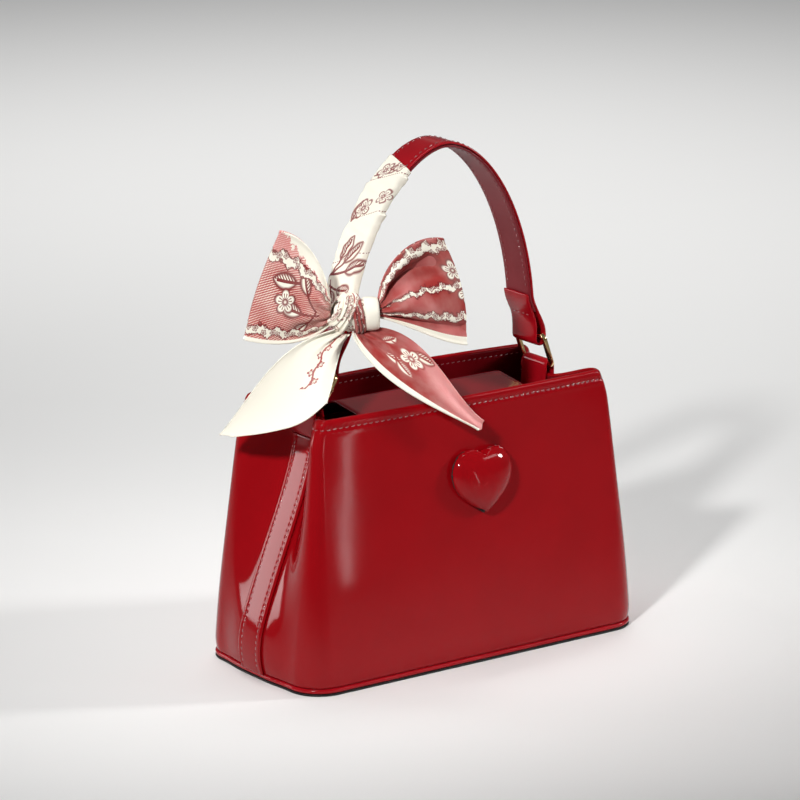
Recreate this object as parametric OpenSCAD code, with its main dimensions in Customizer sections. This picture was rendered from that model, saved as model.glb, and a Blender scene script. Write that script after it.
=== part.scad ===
// Small structured top-handle handbag with a puffed heart and a scarf tied round the handle.
// Origin: centre of the base, on the surface that the bag stands on. +X right, +Y back, +Z up.

/* [Body] */
// Width of the base between its front corners
base_w = 242; // [215:1:270]
// Depth of the base
base_d = 113; // [100:1:130]
// Width of the mouth between its corners, before the rim is drawn in
top_w = 208; // [196:1:222]
// Depth of the mouth at its corners
top_d = 79; // [72:1:90]
// Height of the rim above the floor
rim_h = 159; // [150:1:175]
// How far the rim is drawn in at each side
rim_gather = 4; // [2:0.5:6]
// How far the rim dips where each side folds in
rim_dip = 7; // [4:0.5:9]
// How far the rim drops towards its four corners
rim_corner_drop = 1.2; // [0:0.2:3]
// How far the front rim bows out at its middle
front_bow = 6; // [2:0.5:8]
// How far the back rim bows out at its middle
back_bow = 2; // [1:0.5:4]
// Radius of the upright corners at the base
base_corner_r = 20; // [14:1:24]
// Radius of the upright corners at the rim
rim_corner_r = 4.6; // [4.5:0.1:7]
// Half width from the centre to the folded-in side at the rim
fold_x = 84.8; // [80:0.2:92]
// Height at which the side starts to fold in
fold_start = 15; // [8:1:30]
// How far the side swells out above the base
side_swell = 2.8; // [0:0.2:4]
// How far the corners swell out above the base
corner_swell = 1; // [0:0.2:3]
// How far the bottom edge of the panels is tucked in
hem_tuck = 1; // [0.5:0.1:2.5]

/* [Leather and lining] */
// Thickness of the panel leather
leather_t = 1.6; // [1.2:0.1:2]
// Thickness of the facing leather round the mouth
facing_t = 1.2; // [0.8:0.1:1.4]
// Depth of the facing below the rim
facing_h = 34; // [26:1:40]
// Thickness of the lining
lining_t = 0.5; // [0.4:0.1:0.8]
// Thickness of the stiffening boards behind the front and back
board_t = 1; // [0.8:0.1:1.2]
// Space between two sewn or glued layers
ply_gap = 0.2; // [0.15:0.05:0.3]

/* [Base] */
// Thickness of the base leather
base_t = 1.2; // [1:0.1:2]
// Thickness of the board in the base
base_board_t = 1.6; // [1.2:0.1:2]
// Diameter of the piping round the base
piping_dia = 2.8; // [2.4:0.1:3.2]
// How far the piping and the base stand out beyond the hem of the panels
piping_out = 1; // [0.4:0.1:1.4]

/* [Side strips] */
// Width of the strip that covers each side seam
strip_w = 20.5; // [18:0.5:24]
// Thickness of the strip
strip_t = 1.5; // [1:0.1:2]
// Distance from the rim down to the strip's end, under the ring tab
strip_drop = 16; // [15:0.5:23]

/* [Rings and tabs] */
// Distance of each tab's ring bar inwards from the face of the folded-in side
ring_in = 1.4; // [1.2:0.1:1.6]
// Depth of each tab's ring bar below the level of the rim
ring_drop = 2; // [-7:0.5:4]
// Distance between the two bars of a ring that carry leather
ring_pitch = 20.5; // [18:0.5:24]
// Width of a ring between the middles of its side bars
ring_w = 27.2; // [26.6:0.1:32]
// Diameter of the ring wire
ring_wire = 3; // [2.6:0.1:3.2]
// Bend radius of a ring's corners
ring_bend = 3; // [2.5:0.1:3.4]
// Lean of the left ring towards the middle
lean_left = 32; // [28:0.5:36]
// Lean of the right ring towards the middle
lean_right = 20; // [16:0.5:24]
// How much wider the tabs are than the strips
tab_wider = 1.5; // [0:0.25:1.5]
// Thickness of the tab leather
tab_t = 1.6; // [1.2:0.1:2]
// Length of the tab inside the bag, below the ring bar
tab_in = 28; // [18:1:30]
// Room between a ring bar and the leather round it
bar_room = 0.3; // [0.2:0.05:0.5]

/* [Handle] */
// Width of the handle strap
strap_w = 22; // [20:0.5:23]
// Thickness of each of its two plies
ply_t = 1.6; // [1.3:0.1:1.8]
// Height of the top of the handle above the tabs' ring bars
handle_rise = 144; // [123:1:163]
// Height above those bars where the arch ends and the strap's straight ends begin
arch_foot_rise = 28; // [23:1:33]
// Half span of the arch
arch_half = 68.5; // [66:0.5:74]
// Sideways place of the arch's foot
arch_foot_x = 3; // [0:0.5:5]
// Sideways place of the arch's top
arch_top_x = 7; // [3:0.5:9]
// How far the strap's loop hangs below the ring bar
loop_drop = 2.4; // [1:0.2:4]
// Height above those bars at which the folded-back ends of the strap finish
fold_back_rise = 47; // [41:1:49]
// Height above those bars at which the inner ply begins
inner_ply_rise = 33; // [31:1:37]
// Extra room in the right loop
loop_room = 0.7; // [0.5:0.1:1]

/* [Closure flap] */
// Width of the flap
flap_w = 118; // [90:1:118]
// Sideways place of the flap's middle
flap_x = 2; // [-2:0.5:3]
// Thickness of the flap leather
flap_t = 1.6; // [1.2:0.1:2]
// Thickness of the flap's lining
flap_lining_t = 0.8; // [0.6:0.1:1]
// Depth of the flap's rear seam below the level of the rim
flap_seam_drop = 22; // [19:0.5:25]
// Depth of the flap's crest below the level of the rim
flap_crest_drop = 7; // [6:0.5:10]
// Place of the flap's crest behind the centre
flap_crest_y = 8; // [4:0.5:12]
// Distance from the front facing to the middle of the flap's tongue
tongue_room = 5; // [4.4:0.1:7]
// How far the tongue reaches below the magnets
tongue_over = 1; // [0.5:0.5:4]
// Diameter of the two magnets
magnet_dia = 12; // [10:0.5:13]
// Thickness of each magnet
magnet_t = 1; // [0.8:0.1:1.2]

/* [Heart] */
// Width of the heart
heart_w = 42; // [34:0.5:50]
// Height of the heart
heart_h = 39.5; // [32:0.5:46]
// How far the heart stands out from the panel
heart_out = 11; // [8:0.5:14]
// Sideways place of the heart
heart_x = 4; // [-4:0.5:8]
// Depth of the heart's middle below the level of the rim
heart_drop = 48.5; // [47:0.5:55]
// Thickness of the leather over the heart
heart_skin = 1.2; // [0.8:0.1:1.6]
// Diameter of the heart's rivets
rivet_dia = 3; // [2:0.1:4]
// Distance between the heart's rivets
rivet_pitch = 14; // [10:0.5:18]

/* [Scarf] */
// Thickness of the wrapped and tied silk, as it lies in folded layers
silk_t = 1.2; // [0.8:0.1:1.4]
// Distance from the strap's folded-back end up to the wrap
wrap_above = 3; // [2:0.5:8]
// Share of the arch's angle at which the wrap starts at the top
wrap_start_share = 0.64; // [0.5:0.02:0.7]
// Length of strap that one turn of the wrap takes
wrap_pitch = 30; // [24:1:40]
// Distance of the knot's middle outwards from the handle's left leg
knot_out = 5; // [3:0.5:8]
// Height of the knot above the tabs' ring bars
knot_rise = 55; // [51:0.5:59]
// Width of the knot
knot_w = 27; // [22:0.5:28]
// Depth of the knot
knot_d = 18; // [14:0.5:18]
// Height of the knot's body
knot_h = 22; // [18:0.5:24]
// Turn of the bow towards the front left
bow_turn = 25; // [15:1:36]
// Length of the left loop
loop_left_l = 60; // [50:1:68]
// Length of the right loop
loop_right_l = 68; // [56:1:72]
// Puff of the loops, front and back of the middle
loop_puff = 8; // [5:0.5:9]

/* [Hidden] */

// Colours of the finishes
red = [0.55, 0.02, 0.05];
red_dark = [0.42, 0.02, 0.04];
black = [0.05, 0.05, 0.05];
gold = [0.85, 0.68, 0.38];
cream = [0.97, 0.93, 0.85];
rose = [0.62, 0.22, 0.25];
board = [0.45, 0.4, 0.35];
steel = [0.6, 0.6, 0.62];

// One overrun for all cuts
over = 1;
// Points round a smooth curve, and the facets of round metal pieces
arch_steps = 44;
round_fn = 48;
// Points of the body's outline in a corner, on a side and on half of the front
corner_n = 4;
side_n = 5;
face_n = 4;

// Heights that follow the rim, and those that follow the tabs' ring bars
strip_top = rim_h - strip_drop;
flap_seam_z = rim_h - flap_seam_drop;
flap_crest_z = rim_h - flap_crest_drop;
heart_z = rim_h - heart_drop;
ring_z = rim_h - ring_drop;
handle_top = ring_z + handle_rise;
arch_foot = ring_z + arch_foot_rise;
fold_back_top = ring_z + fold_back_rise;
inner_ply_foot = ring_z + inner_ply_rise;
knot_z = ring_z + knot_rise;

// Height of the panels' lower edge, above the base leather and the piping
panel_z = base_t + piping_dia + 2 * ply_gap;
// Layers of the wall, measured inwards from the outer face
board_in = leather_t + ply_gap;
washer_t = 0.5;
lining_in = board_in + board_t + washer_t + 2 * ply_gap;
facing_in = leather_t + 1.5 * ply_gap;
wall_top_t = facing_in + facing_t;
facing_foot = rim_h - facing_h;
// The magnets lie at the foot of the facing, and the flap's tongue covers them
magnet_z = facing_foot + magnet_dia / 2;
tongue_z = facing_foot - tongue_over;
ring_x = fold_x - ring_in;
tab_w = strip_w + tab_wider;
// The flat floor of each folded-in side is just wider than its strip
floor_half = strip_w / 2 + ply_gap;
seam_half = ply_gap;

function lerp(a, b, t) = a + (b - a) * t;
function clamp01(t) = min(1, max(0, t));
function smooth(t) = let (c = clamp01(t)) c * c * (3 - 2 * c);
function unit(v) = v / norm(v);
function flip(list) = [for (i = [len(list) - 1:-1:0]) list[i]];
// A point on a cubic curve with four control points
function cubic(p, t) = pow(1 - t, 3) * p[0] + 3 * pow(1 - t, 2) * t * p[1]
    + 3 * (1 - t) * t * t * p[2] + pow(t, 3) * p[3];
function cubic_path(p, n) = [for (i = [0:n]) cubic(p, i / n)];

// Half width of the mouth and base corners at height z
hem_share = 0.06;
gather_share = 0.12;
swell_z_share = 0.125;
swell_reach_share = 0.14;
fold_end_share = 0.92;
function tuck(z) = hem_tuck * pow(1 - clamp01((z - panel_z) / (hem_share * rim_h)), 2);
swell_share = 0.25;
function half_w(z) = lerp(base_w, top_w, z / rim_h) / 2 - tuck(z)
    + corner_swell * exp(-pow(z / rim_h / swell_share - 1, 2))
    - rim_gather * pow(clamp01(1 - (rim_h - z) / (gather_share * rim_h)), 2);
function half_d(z) = lerp(base_d, top_d, z / rim_h) / 2 - tuck(z);
// Distance of the side's middle from the centre: it folds in towards the rim
function side_x(z) = lerp(base_w / 2, fold_x, smooth((z - fold_start) / (fold_end_share * rim_h - fold_start)))
    + side_swell * exp(-pow((z - swell_z_share * rim_h) / (swell_reach_share * rim_h), 2)) - tuck(z);
corner_power = 1.6;
bow_power = 1.5;
function corner_r(z) = lerp(rim_corner_r, base_corner_r, pow(clamp01(1 - z / rim_h), corner_power));
function bow_at(bow, z) = bow * pow(clamp01(z / rim_h), bow_power);
// 1 on the folded-in floor of the side, 0 at the corner
function fold_weight(y, z) = let (reach = half_d(z) - corner_r(z))
    0.5 * (1 + cos(180 * clamp01((abs(y) - floor_half) / (reach - floor_half))));
dip_start_share = 0.7;
function dip_at(drop, z) = drop * smooth((z / rim_h - dip_start_share) / (1 - dip_start_share));

// Left half of the front outline at height z: seam, side, corner, face. Each point is
// [x, y, drop of the rim there]. The back is its mirror image, with its own bow.
function half_outline(z, bow) =
    let (hw = half_w(z), hd = half_d(z), r = corner_r(z), reach = hd - r, b = bow_at(bow, z))
    concat(
        [for (i = [0:side_n]) let (y = i == 0 ? seam_half
            : lerp(floor_half, reach, (i - 1) / (side_n - 1)), w = fold_weight(y, z))
            [-lerp(hw, side_x(z), w), -y, lerp(rim_corner_drop, rim_dip, w)]],
        [for (i = [1:corner_n]) let (a = 90 * i / corner_n)
            [-(hw - r) - r * cos(a), -(hd - r) - r * sin(a), rim_corner_drop]],
        [for (i = [1:face_n]) let (x = (hw - r) * (1 - i / face_n))
            [-x, -hd - b * (1 - pow(x / (hw - r), 2)), rim_corner_drop * pow(x / (hw - r), 2)]]);
function front_outline(z, bow) = let (h = half_outline(z, bow), n = len(h))
    concat(h, [for (i = [n - 2:-1:0]) [-h[i][0], h[i][1], h[i][2]]]);
// The outline moved inwards by t, square to itself
function inset_outline(line, t) = let (n = len(line)) [for (i = [0:n - 1])
    let (a = line[max(0, i - 1)], b = line[min(n - 1, i + 1)], d = unit([b[0] - a[0], b[1] - a[1]]))
    [line[i][0] - d[1] * t, line[i][1] + d[0] * t, line[i][2]]];
function lift(line, z) = [for (p = line) [p[0], p[1], z - dip_at(p[2], z)]];
function shell_rows(zs, t, bow) = [for (z = zs) lift(inset_outline(front_outline(z, bow), t), z)];
// The points of a row from one index to another
function part_of(row, from, to) = [for (i = [from:to]) row[i]];

// Skin over rings of points: each ring goes out along one face and back along the other
function skin_faces(k, m) = let (n = 2 * k) concat(
    [for (j = [0:m - 2], i = [0:n - 1]) let (a = j * n + i, b = j * n + (i + 1) % n)
        each [[a, b + n, b], [a, a + n, b + n]]],
    [for (i = [0:k - 2]) each [[i, i + 1, n - 2 - i], [i, n - 2 - i, n - 1 - i]]],
    [for (i = [0:k - 2]) let (e = (m - 1) * n)
        each [[e + i, e + n - 2 - i, e + i + 1], [e + i, e + n - 1 - i, e + n - 2 - i]]]);
module sheet(outer, inner) {
    pts = [for (j = [0:len(outer) - 1]) each concat(outer[j], flip(inner[j]))];
    polyhedron(points = pts, faces = skin_faces(len(outer[0]), len(outer)), convexity = 10);
}
// Skin over closed rings with a point at each end
function ball_faces(n, m) = concat(
    [for (j = [0:m - 2], i = [0:n - 1]) let (a = 2 + j * n + i, b = 2 + j * n + (i + 1) % n)
        each [[a, b + n, b], [a, a + n, b + n]]],
    [for (i = [0:n - 1]) [0, 2 + i, 2 + (i + 1) % n]],
    [for (i = [0:n - 1]) [1, 2 + (m - 1) * n + (i + 1) % n, 2 + (m - 1) * n + i]]);

// A cloth given as a grid of points, thickened by half of t to each side
function grid_normal(g, j, i) = let (m = len(g) - 1, k = len(g[0]) - 1)
    unit(cross(g[min(m, j + 1)][i] - g[max(0, j - 1)][i], g[j][min(k, i + 1)] - g[j][max(0, i - 1)]));
function grid_offset(g, t) = [for (j = [0:len(g) - 1]) [for (i = [0:len(g[0]) - 1])
    g[j][i] + t * grid_normal(g, j, i)]];
module cloth(g, t) {
    sheet(grid_offset(g, -t / 2), grid_offset(g, t / 2));
}

// A strip of constant thickness seen edge on: the path moved to each side
function path_offset(path, t) = let (n = len(path)) [for (i = [0:n - 1])
    let (d = unit(path[min(n - 1, i + 1)] - path[max(0, i - 1)])) path[i] + t * [-d[1], d[0]]];
function ribbon(path, t0, t1) = concat(path_offset(path, t0), flip(path_offset(path, t1)));
// Stands a drawing of X and Z upright and gives it a width along Y
module upright(width) {
    rotate([90, 0, 0]) linear_extrude(height = width, center = true) children();
}
// Stands a drawing of Y and Z upright and gives it a width along X
module sideways(width) {
    rotate([90, 0, 90]) linear_extrude(height = width, center = true) children();
}

// Body
row_shares = [0, 0.035, 0.08, 0.14, 0.21, 0.3, 0.4, 0.5, 0.6, 0.71, 0.81, 0.89, 0.95, 1];
shell_zs = [for (s = row_shares) lerp(panel_z, rim_h, s)];
facing_row_shares = [0, 0.3, 0.6, 0.82, 1];
facing_zs = [for (s = facing_row_shares) lerp(facing_foot, rim_h, s)];
lining_top = facing_foot - ply_gap;
lining_foot = base_t + base_board_t + 3 * ply_gap + lining_t;
lining_row_shares = [0, 0.07, 0.16, 0.3, 0.48, 0.66, 0.84, 1];
lining_zs = [for (s = lining_row_shares) lerp(lining_foot, lining_top, s)];

module wall(zs, t0, t1, bow) {
    sheet(shell_rows(zs, t0, bow), shell_rows(zs, t1, bow));
}

// The rivets' holes, square to the sloping front
wall_run = half_d(0) - half_d(rim_h) - bow_at(front_bow, rim_h) + tuck(0);
front_slope = atan(wall_run / rim_h);
heart_back_y = -half_d(heart_z) - bow_at(front_bow, heart_z) * (1 - pow(heart_x / half_w(heart_z), 2));
module at_heart() {
    translate([heart_x, heart_back_y, heart_z]) rotate([90 - front_slope, 0, 0]) children();
}
module rivet_pair(dia, low, high) {
    for (s = [-1, 1]) translate([s * rivet_pitch / 2, 0, low])
        cylinder(d = dia, h = high - low, $fn = round_fn);
}
rivet_room = 0.1;
module rivet_holes() {
    at_heart() rivet_pair(rivet_dia + 2 * rivet_room, -lining_in - over, over);
}

module front_panel() {
    color(red) difference() {
        wall(shell_zs, 0, leather_t, front_bow);
        rivet_holes();
    }
}
module back_panel() {
    color(red) mirror([0, 1, 0]) wall(shell_zs, 0, leather_t, back_bow);
}
module front_facing() {
    color(red_dark) wall(facing_zs, facing_in, wall_top_t, front_bow);
}
module back_facing() {
    color(red_dark) mirror([0, 1, 0]) wall(facing_zs, facing_in, wall_top_t, back_bow);
}
module lining_front() {
    color(black) wall(lining_zs, lining_in, lining_in + lining_t, front_bow);
}
module lining_back() {
    color(black) mirror([0, 1, 0]) wall(lining_zs, lining_in, lining_in + lining_t, back_bow);
}

// Stiffening boards lie between leather and lining, on the flat of the front and back
board_top = facing_foot - 2 * ply_gap;
board_row_shares = [0, 0.2, 0.5, 0.8, 1];
board_foot = panel_z + hem_share * rim_h;
board_zs = [for (s = board_row_shares) lerp(board_foot, board_top, s)];
function board_rows(t, bow) = let (first = side_n + corner_n + 1, last = first + 2 * (face_n - 1))
    [for (row = shell_rows(board_zs, t, bow)) part_of(row, first, last)];
module stiff_board(bow) {
    sheet(board_rows(board_in, bow), board_rows(board_in + board_t, bow));
}
module front_board() {
    color(board) difference() {
        stiff_board(front_bow);
        rivet_holes();
    }
}
module back_board() {
    color(board) mirror([0, 1, 0]) stiff_board(back_bow);
}

// Base: leather, piping, board and lining floor, all of the outline of the panels' foot
function base_outline(t) = let (f = inset_outline(front_outline(panel_z, 0), t))
    concat([for (p = f) [p[0], p[1]]], [for (i = [len(f) - 1:-1:0]) [f[i][0], -f[i][1]]]);
module base_panel() {
    color(black) linear_extrude(height = base_t) polygon(base_outline(-piping_out + ply_gap));
}
piping_sides = 8;
module base_piping() {
    mid = base_outline(piping_dia / 2 - piping_out);
    n = len(mid);
    z0 = base_t + ply_gap + piping_dia / 2;
    pts = [for (i = [0:n - 1]) let (a = mid[(i + n - 1) % n], b = mid[(i + 1) % n], d = unit(b - a))
        each [for (k = [0:piping_sides - 1]) let (u = 360 * (k + 0.5) / piping_sides, r = piping_dia / 2)
            [mid[i][0] + d[1] * r * cos(u), mid[i][1] - d[0] * r * cos(u), z0 + r * sin(u)]]];
    faces = [for (i = [0:n - 1], k = [0:piping_sides - 1])
        let (a = i * piping_sides + k, b = i * piping_sides + (k + 1) % piping_sides,
            c = ((i + 1) % n) * piping_sides + k, d = ((i + 1) % n) * piping_sides + (k + 1) % piping_sides)
        each [[a, b, d], [a, d, c]]];
    color(red) polyhedron(points = pts, faces = faces, convexity = 6);
}
board_edge = leather_t + piping_dia;
module base_board() {
    color(board) translate([0, 0, base_t + ply_gap]) linear_extrude(height = base_board_t)
        polygon(base_outline(board_edge));
}
module lining_base() {
    color(black) translate([0, 0, base_t + base_board_t + 2 * ply_gap]) linear_extrude(height = lining_t)
        polygon(base_outline(board_edge + ply_gap));
}

// Side strips follow the folded-in sides from the piping to the tab
strip_row_shares = [0, 0.04, 0.09, 0.15, 0.22, 0.31, 0.41, 0.52, 0.63, 0.74, 0.87, 1];
function strip_rows(t) = [for (s = strip_row_shares) let (z = lerp(panel_z, strip_top, s))
    [for (y = [-strip_w / 2, strip_w / 2]) [side_x(z) + t, y, z - dip_at(rim_dip, z)]]];
module side_strip() {
    color(red) sheet(strip_rows(strip_t + ply_gap), strip_rows(ply_gap));
}
module side_strip_right() {
    side_strip();
}
module side_strip_left() {
    mirror([1, 0, 0]) side_strip();
}

// Heart: a puffed leather cover over a filling, on a plate that is riveted through the front
heart_n = 28;
heart_rings = 5;
heart_seat = 2 * ply_gap;
heart_plate_t = 1;
// Outline of the heart: a round-lobed curve, scaled to its width and height
lobe_shares = [0.51, 0.101, 0.065, 0.024];
lobe_power = 2.2;
tip_share = 0.035;
function heart_at(a) = let (s = lobe_shares)
    [heart_w / 2 * sign(sin(a)) * pow(abs(sin(a)), lobe_power) + tip_share * heart_h * pow(sin(a / 2), 8),
        heart_h * (s[0] * cos(a) - s[1] * cos(2 * a) - s[2] * cos(3 * a) - s[3] * cos(4 * a))];
function heart_ring(w, z) = [for (i = [0:heart_n - 1]) let (p = heart_at(-360 * i / heart_n))
    [p[0] * (1 - w), p[1] * (1 - w), z]];
// The cover's rings: upright at the edge, then rounding over to the middle
function heart_points(edge, out) = concat(
    [[0, 0, 0], [0, 0, out]],
    [for (j = [0:heart_rings]) let (u = 90 * j / (heart_rings + 0.6))
        each heart_ring(1 - cos(u) * (1 - edge), out * sin(u))]);
module heart_dome(edge, out) {
    polyhedron(points = heart_points(edge, out), faces = ball_faces(heart_n, heart_rings + 1),
        convexity = 6);
}
skin_edge = 2 * heart_skin / heart_h;
fill_edge = skin_edge + 2 * ply_gap / heart_h;
cover_z = heart_seat + heart_plate_t + ply_gap;
cover_out = heart_out - cover_z;
// A dome that is hollow and open at its back: outer rings, inner rings and the rim between
module heart_shell(edge, out, t) {
    n = heart_n;
    m = heart_rings + 1;
    outer = heart_points(0, out);
    inner = heart_points(edge, out - t);
    pts = concat([outer[1], inner[1]], part_of(outer, 2, m * n + 1), part_of(inner, 2, m * n + 1));
    q = m * n;
    faces = concat(
        [for (j = [0:m - 2], i = [0:n - 1]) let (a = 2 + j * n + i, b = 2 + j * n + (i + 1) % n)
            each [[a, b + n, b], [a, a + n, b + n], [q + a, q + b, q + b + n], [q + a, q + b + n, q + a + n]]],
        [for (i = [0:n - 1]) let (a = 2 + i, b = 2 + (i + 1) % n, e = (m - 1) * n)
            each [[0, e + b, e + a], [1, q + e + a, q + e + b], [a, b, q + b], [a, q + b, q + a]]]);
    polyhedron(points = pts, faces = faces, convexity = 8);
}
module heart_cover() {
    color(red) at_heart() translate([0, 0, cover_z]) heart_shell(skin_edge, cover_out, heart_skin);
}
module heart_filling() {
    color(cream) at_heart() translate([0, 0, cover_z + ply_gap])
        heart_dome(fill_edge, cover_out - heart_skin - 2 * ply_gap);
}
module heart_plate() {
    color(board) at_heart() translate([0, 0, heart_seat]) linear_extrude(height = heart_plate_t)
        difference() {
            polygon([for (p = heart_ring(skin_edge / 2, 0)) [p[0], p[1]]]);
            for (s = [-1, 1]) translate([s * rivet_pitch / 2, 0])
                circle(d = rivet_dia + 2 * rivet_room, $fn = round_fn);
        }
}
// Each rivet is a shank with a washer clenched behind the board
washer_dia = 2.6 * rivet_dia;
module heart_rivets() {
    back = -(board_in + board_t + ply_gap / 2);
    color(steel) at_heart() {
        rivet_pair(rivet_dia, back, heart_seat + heart_plate_t);
        rivet_pair(washer_dia, back - washer_t, back);
    }
}

// Tabs: a strip of leather from the outside of the folded-in side, over the ring bar
// and down the inside
tab_r = ring_wire / 2 + bar_room + tab_t / 2;
tab_out_z = strip_top + ply_gap - rim_dip / 2;
tab_lean = 2.5;
tab_path = concat(
    [[max(ring_x + tab_r, side_x(tab_out_z) + ply_gap + tab_t / 2), tab_out_z]],
    [for (a = [0:15:180]) [ring_x + tab_r * cos(a), ring_z + tab_r * sin(a)]],
    [[ring_x - tab_r - tab_lean, ring_z - tab_in]]);
module tab() {
    color(red) upright(tab_w) polygon(ribbon(tab_path, -tab_t / 2, tab_t / 2));
}
module tab_right() {
    tab();
}
module tab_left() {
    mirror([1, 0, 0]) tab();
}

// Closure flap: sewn inside the back, up over a crest and down inside the front to the magnets
flap_half_t = flap_t / 2;
magnet_wall_y = half_d(magnet_z + magnet_dia / 2)
    + bow_at(front_bow, magnet_z) * (1 - pow((heart_x + magnet_dia / 2) / half_w(magnet_z), 2))
    - wall_top_t - ply_gap;
tongue_y = magnet_wall_y + ply_gap - tongue_room;
flap_hinge_y = half_d(flap_seam_z)
    + bow_at(back_bow, flap_seam_z) * (1 - pow((flap_w / 2) / half_w(flap_seam_z), 2))
    - wall_top_t - 2 * ply_gap - flap_half_t;
rear_run = flap_hinge_y - flap_crest_y;
rear_rise = flap_crest_z - flap_seam_z;
rear_shares = [[0.33, 0.33], [0.73, 1.03]];
front_run = tongue_y + flap_crest_y;
fall_share = 0.42;
bend_z = flap_crest_z - fall_share * (flap_crest_z - tongue_z) - over;
front_shares = [[0.47, 0.27], [1, 0.33]];
flap_path = concat(
    cubic_path([[flap_hinge_y, flap_seam_z],
        [flap_hinge_y - rear_shares[0][0] * rear_run, flap_seam_z + rear_shares[0][1] * rear_rise],
        [flap_hinge_y - rear_shares[1][0] * rear_run, flap_seam_z + rear_shares[1][1] * rear_rise],
        [flap_crest_y, flap_crest_z]], 8),
    part_of(cubic_path([[flap_crest_y, flap_crest_z],
        [flap_crest_y - front_shares[0][0] * front_run,
            lerp(flap_crest_z, bend_z, front_shares[0][1])],
        [flap_crest_y - front_shares[1][0] * front_run,
            lerp(flap_crest_z, bend_z, front_shares[1][1])],
        [-tongue_y, bend_z]], 10), 1, 10),
    [[-tongue_y, tongue_z]]);
module closure_flap() {
    color(red_dark) translate([flap_x, 0, 0])
        sideways(flap_w) polygon(ribbon(flap_path, -flap_half_t, flap_half_t));
}
module flap_lining() {
    near = flap_half_t + ply_gap / 2;
    color(black) translate([flap_x, 0, 0])
        sideways(flap_w - 2 * flap_t) polygon(ribbon(part_of(flap_path, 1, len(flap_path) - 1),
            near, near + flap_lining_t));
}
module magnet() {
    rotate([90, 0, 0]) cylinder(d = magnet_dia, h = magnet_t, $fn = round_fn);
}
module magnet_flap() {
    color(steel) translate([heart_x, -tongue_y - flap_half_t - ply_gap / 2, magnet_z]) magnet();
}
module magnet_front() {
    color(steel) translate([heart_x, -magnet_wall_y + magnet_t, magnet_z]) magnet();
}

// Rings: bent wire with two straight bars for the leather and two for the sides
module ring() {
    r = ring_wire / 2;
    w = ring_w / 2 - ring_bend;
    h = ring_pitch - 2 * ring_bend;
    color(gold) {
        for (s = [0, 1]) translate([0, w, s * ring_pitch]) rotate([90, 0, 0])
            cylinder(r = r, h = 2 * w, $fn = round_fn);
        for (s = [-1, 1]) translate([0, s * ring_w / 2, ring_bend]) cylinder(r = r, h = h, $fn = round_fn);
        for (s = [-1, 1], e = [0, 1]) translate([0, s * w, e == 0 ? ring_bend : ring_pitch - ring_bend])
            mirror([0, s < 0 ? 1 : 0, 0]) mirror([0, 0, e == 0 ? 1 : 0]) rotate([90, 0, 90])
                rotate_extrude(angle = 90, $fn = round_fn) translate([ring_bend, 0])
                    circle(r = r, $fn = round_fn);
    }
}
module ring_right() {
    translate([ring_x, 0, ring_z]) rotate([0, -lean_right, 0]) ring();
}
module ring_left() {
    translate([-ring_x, 0, ring_z]) rotate([0, lean_left, 0]) ring();
}

// Handle: the outer ply runs over the arch and round both ring bars, and folds back up
arch_power_share = 1.093;
arch_rise = handle_top - arch_foot;
function arch_x(z) = lerp(arch_foot_x, arch_top_x, (z - arch_foot) / arch_rise);
function arch_point(a) = let (z = arch_foot + arch_rise * pow(sin(a), arch_power_share))
    [arch_x(z) + arch_half * sign(cos(a)) * pow(abs(cos(a)), arch_power_share), z];
arch_first = 10;
arch_last = 180 - arch_first;
// The arch from right to left, along its outer face
arch_path = [for (i = [0:arch_steps]) arch_point(lerp(arch_first, arch_last, i / arch_steps))];
bar_right = [ring_x - ring_pitch * sin(lean_right), ring_z + ring_pitch * cos(lean_right)];
bar_left = [-ring_x + ring_pitch * sin(lean_left), ring_z + ring_pitch * cos(lean_left)];
// One end of the strap, drawn for the right side: down outside the bar, round under it,
// and up inside to lie against the inner ply. The path is the middle of the outer ply.
function strap_end(bar, top, top_dir, room) =
    let (r = ring_wire / 2 + room + ply_t / 2, low = bar[1] - loop_drop,
        back = 2 * ply_t + 2 * ply_gap, hold = (top[1] - bar[1]) / 3,
        down = cubic_path([top, top + hold * top_dir, [bar[0] + r, bar[1] + hold], [bar[0] + r, bar[1]]], 8),
        near = path_offset(down, -back),
        lay = [for (p = near) if (p[1] > inner_ply_foot) p],
        last = len(lay) - 1, foot = lay[last], up = unit(near[max(0, last - 1)] - near[max(1, last)]))
    concat(
        part_of(down, 1, 8),
        [for (a = [0:-20:-180]) [bar[0] + r * cos(a), low + r * sin(a)]],
        part_of(cubic_path([[bar[0] - r, bar[1]], [bar[0] - r, lerp(bar[1], foot[1], 0.5)],
            foot - up * (foot[1] - bar[1]) / 3, foot], 5), 1, 5),
        [for (i = [len(lay) - 2:-1:0]) if (lay[i][1] < fold_back_top) lay[i]],
        [for (p = [foot + up * (fold_back_top - foot[1])]) if (len(lay) < 3) p]);
function mirror_x(path) = [for (p = path) [-p[0], p[1]]];
arch_mid = path_offset(arch_path, ply_t / 2);
right_end = strap_end(bar_right, arch_mid[0], unit(arch_mid[0] - arch_mid[1]), bar_room + loop_room);
left_mid = mirror_x(flip(arch_mid));
left_end = strap_end([-bar_left[0], bar_left[1]], left_mid[0], unit(left_mid[0] - left_mid[1]),
    bar_room + ply_gap);
strap_path = concat(flip(right_end), arch_mid, mirror_x(left_end));
module handle_outer_ply() {
    color(red) upright(strap_w) polygon(ribbon(strap_path, -ply_t / 2, ply_t / 2));
}
// The inner ply lines the arch and ends in the fork above each ring
function leg(end, top) = [for (p = concat([top], part_of(end, 0, 6))) if (p[1] > inner_ply_foot + ply_t) p];
inner_path = concat(flip(leg(right_end, right_end[0])), arch_mid,
    mirror_x(leg(left_end, left_end[0])));
module handle_inner_ply() {
    near = ply_t / 2 + ply_gap;
    color(red_dark) upright(strap_w) polygon(ribbon(inner_path, near, near + ply_t));
}

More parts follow.
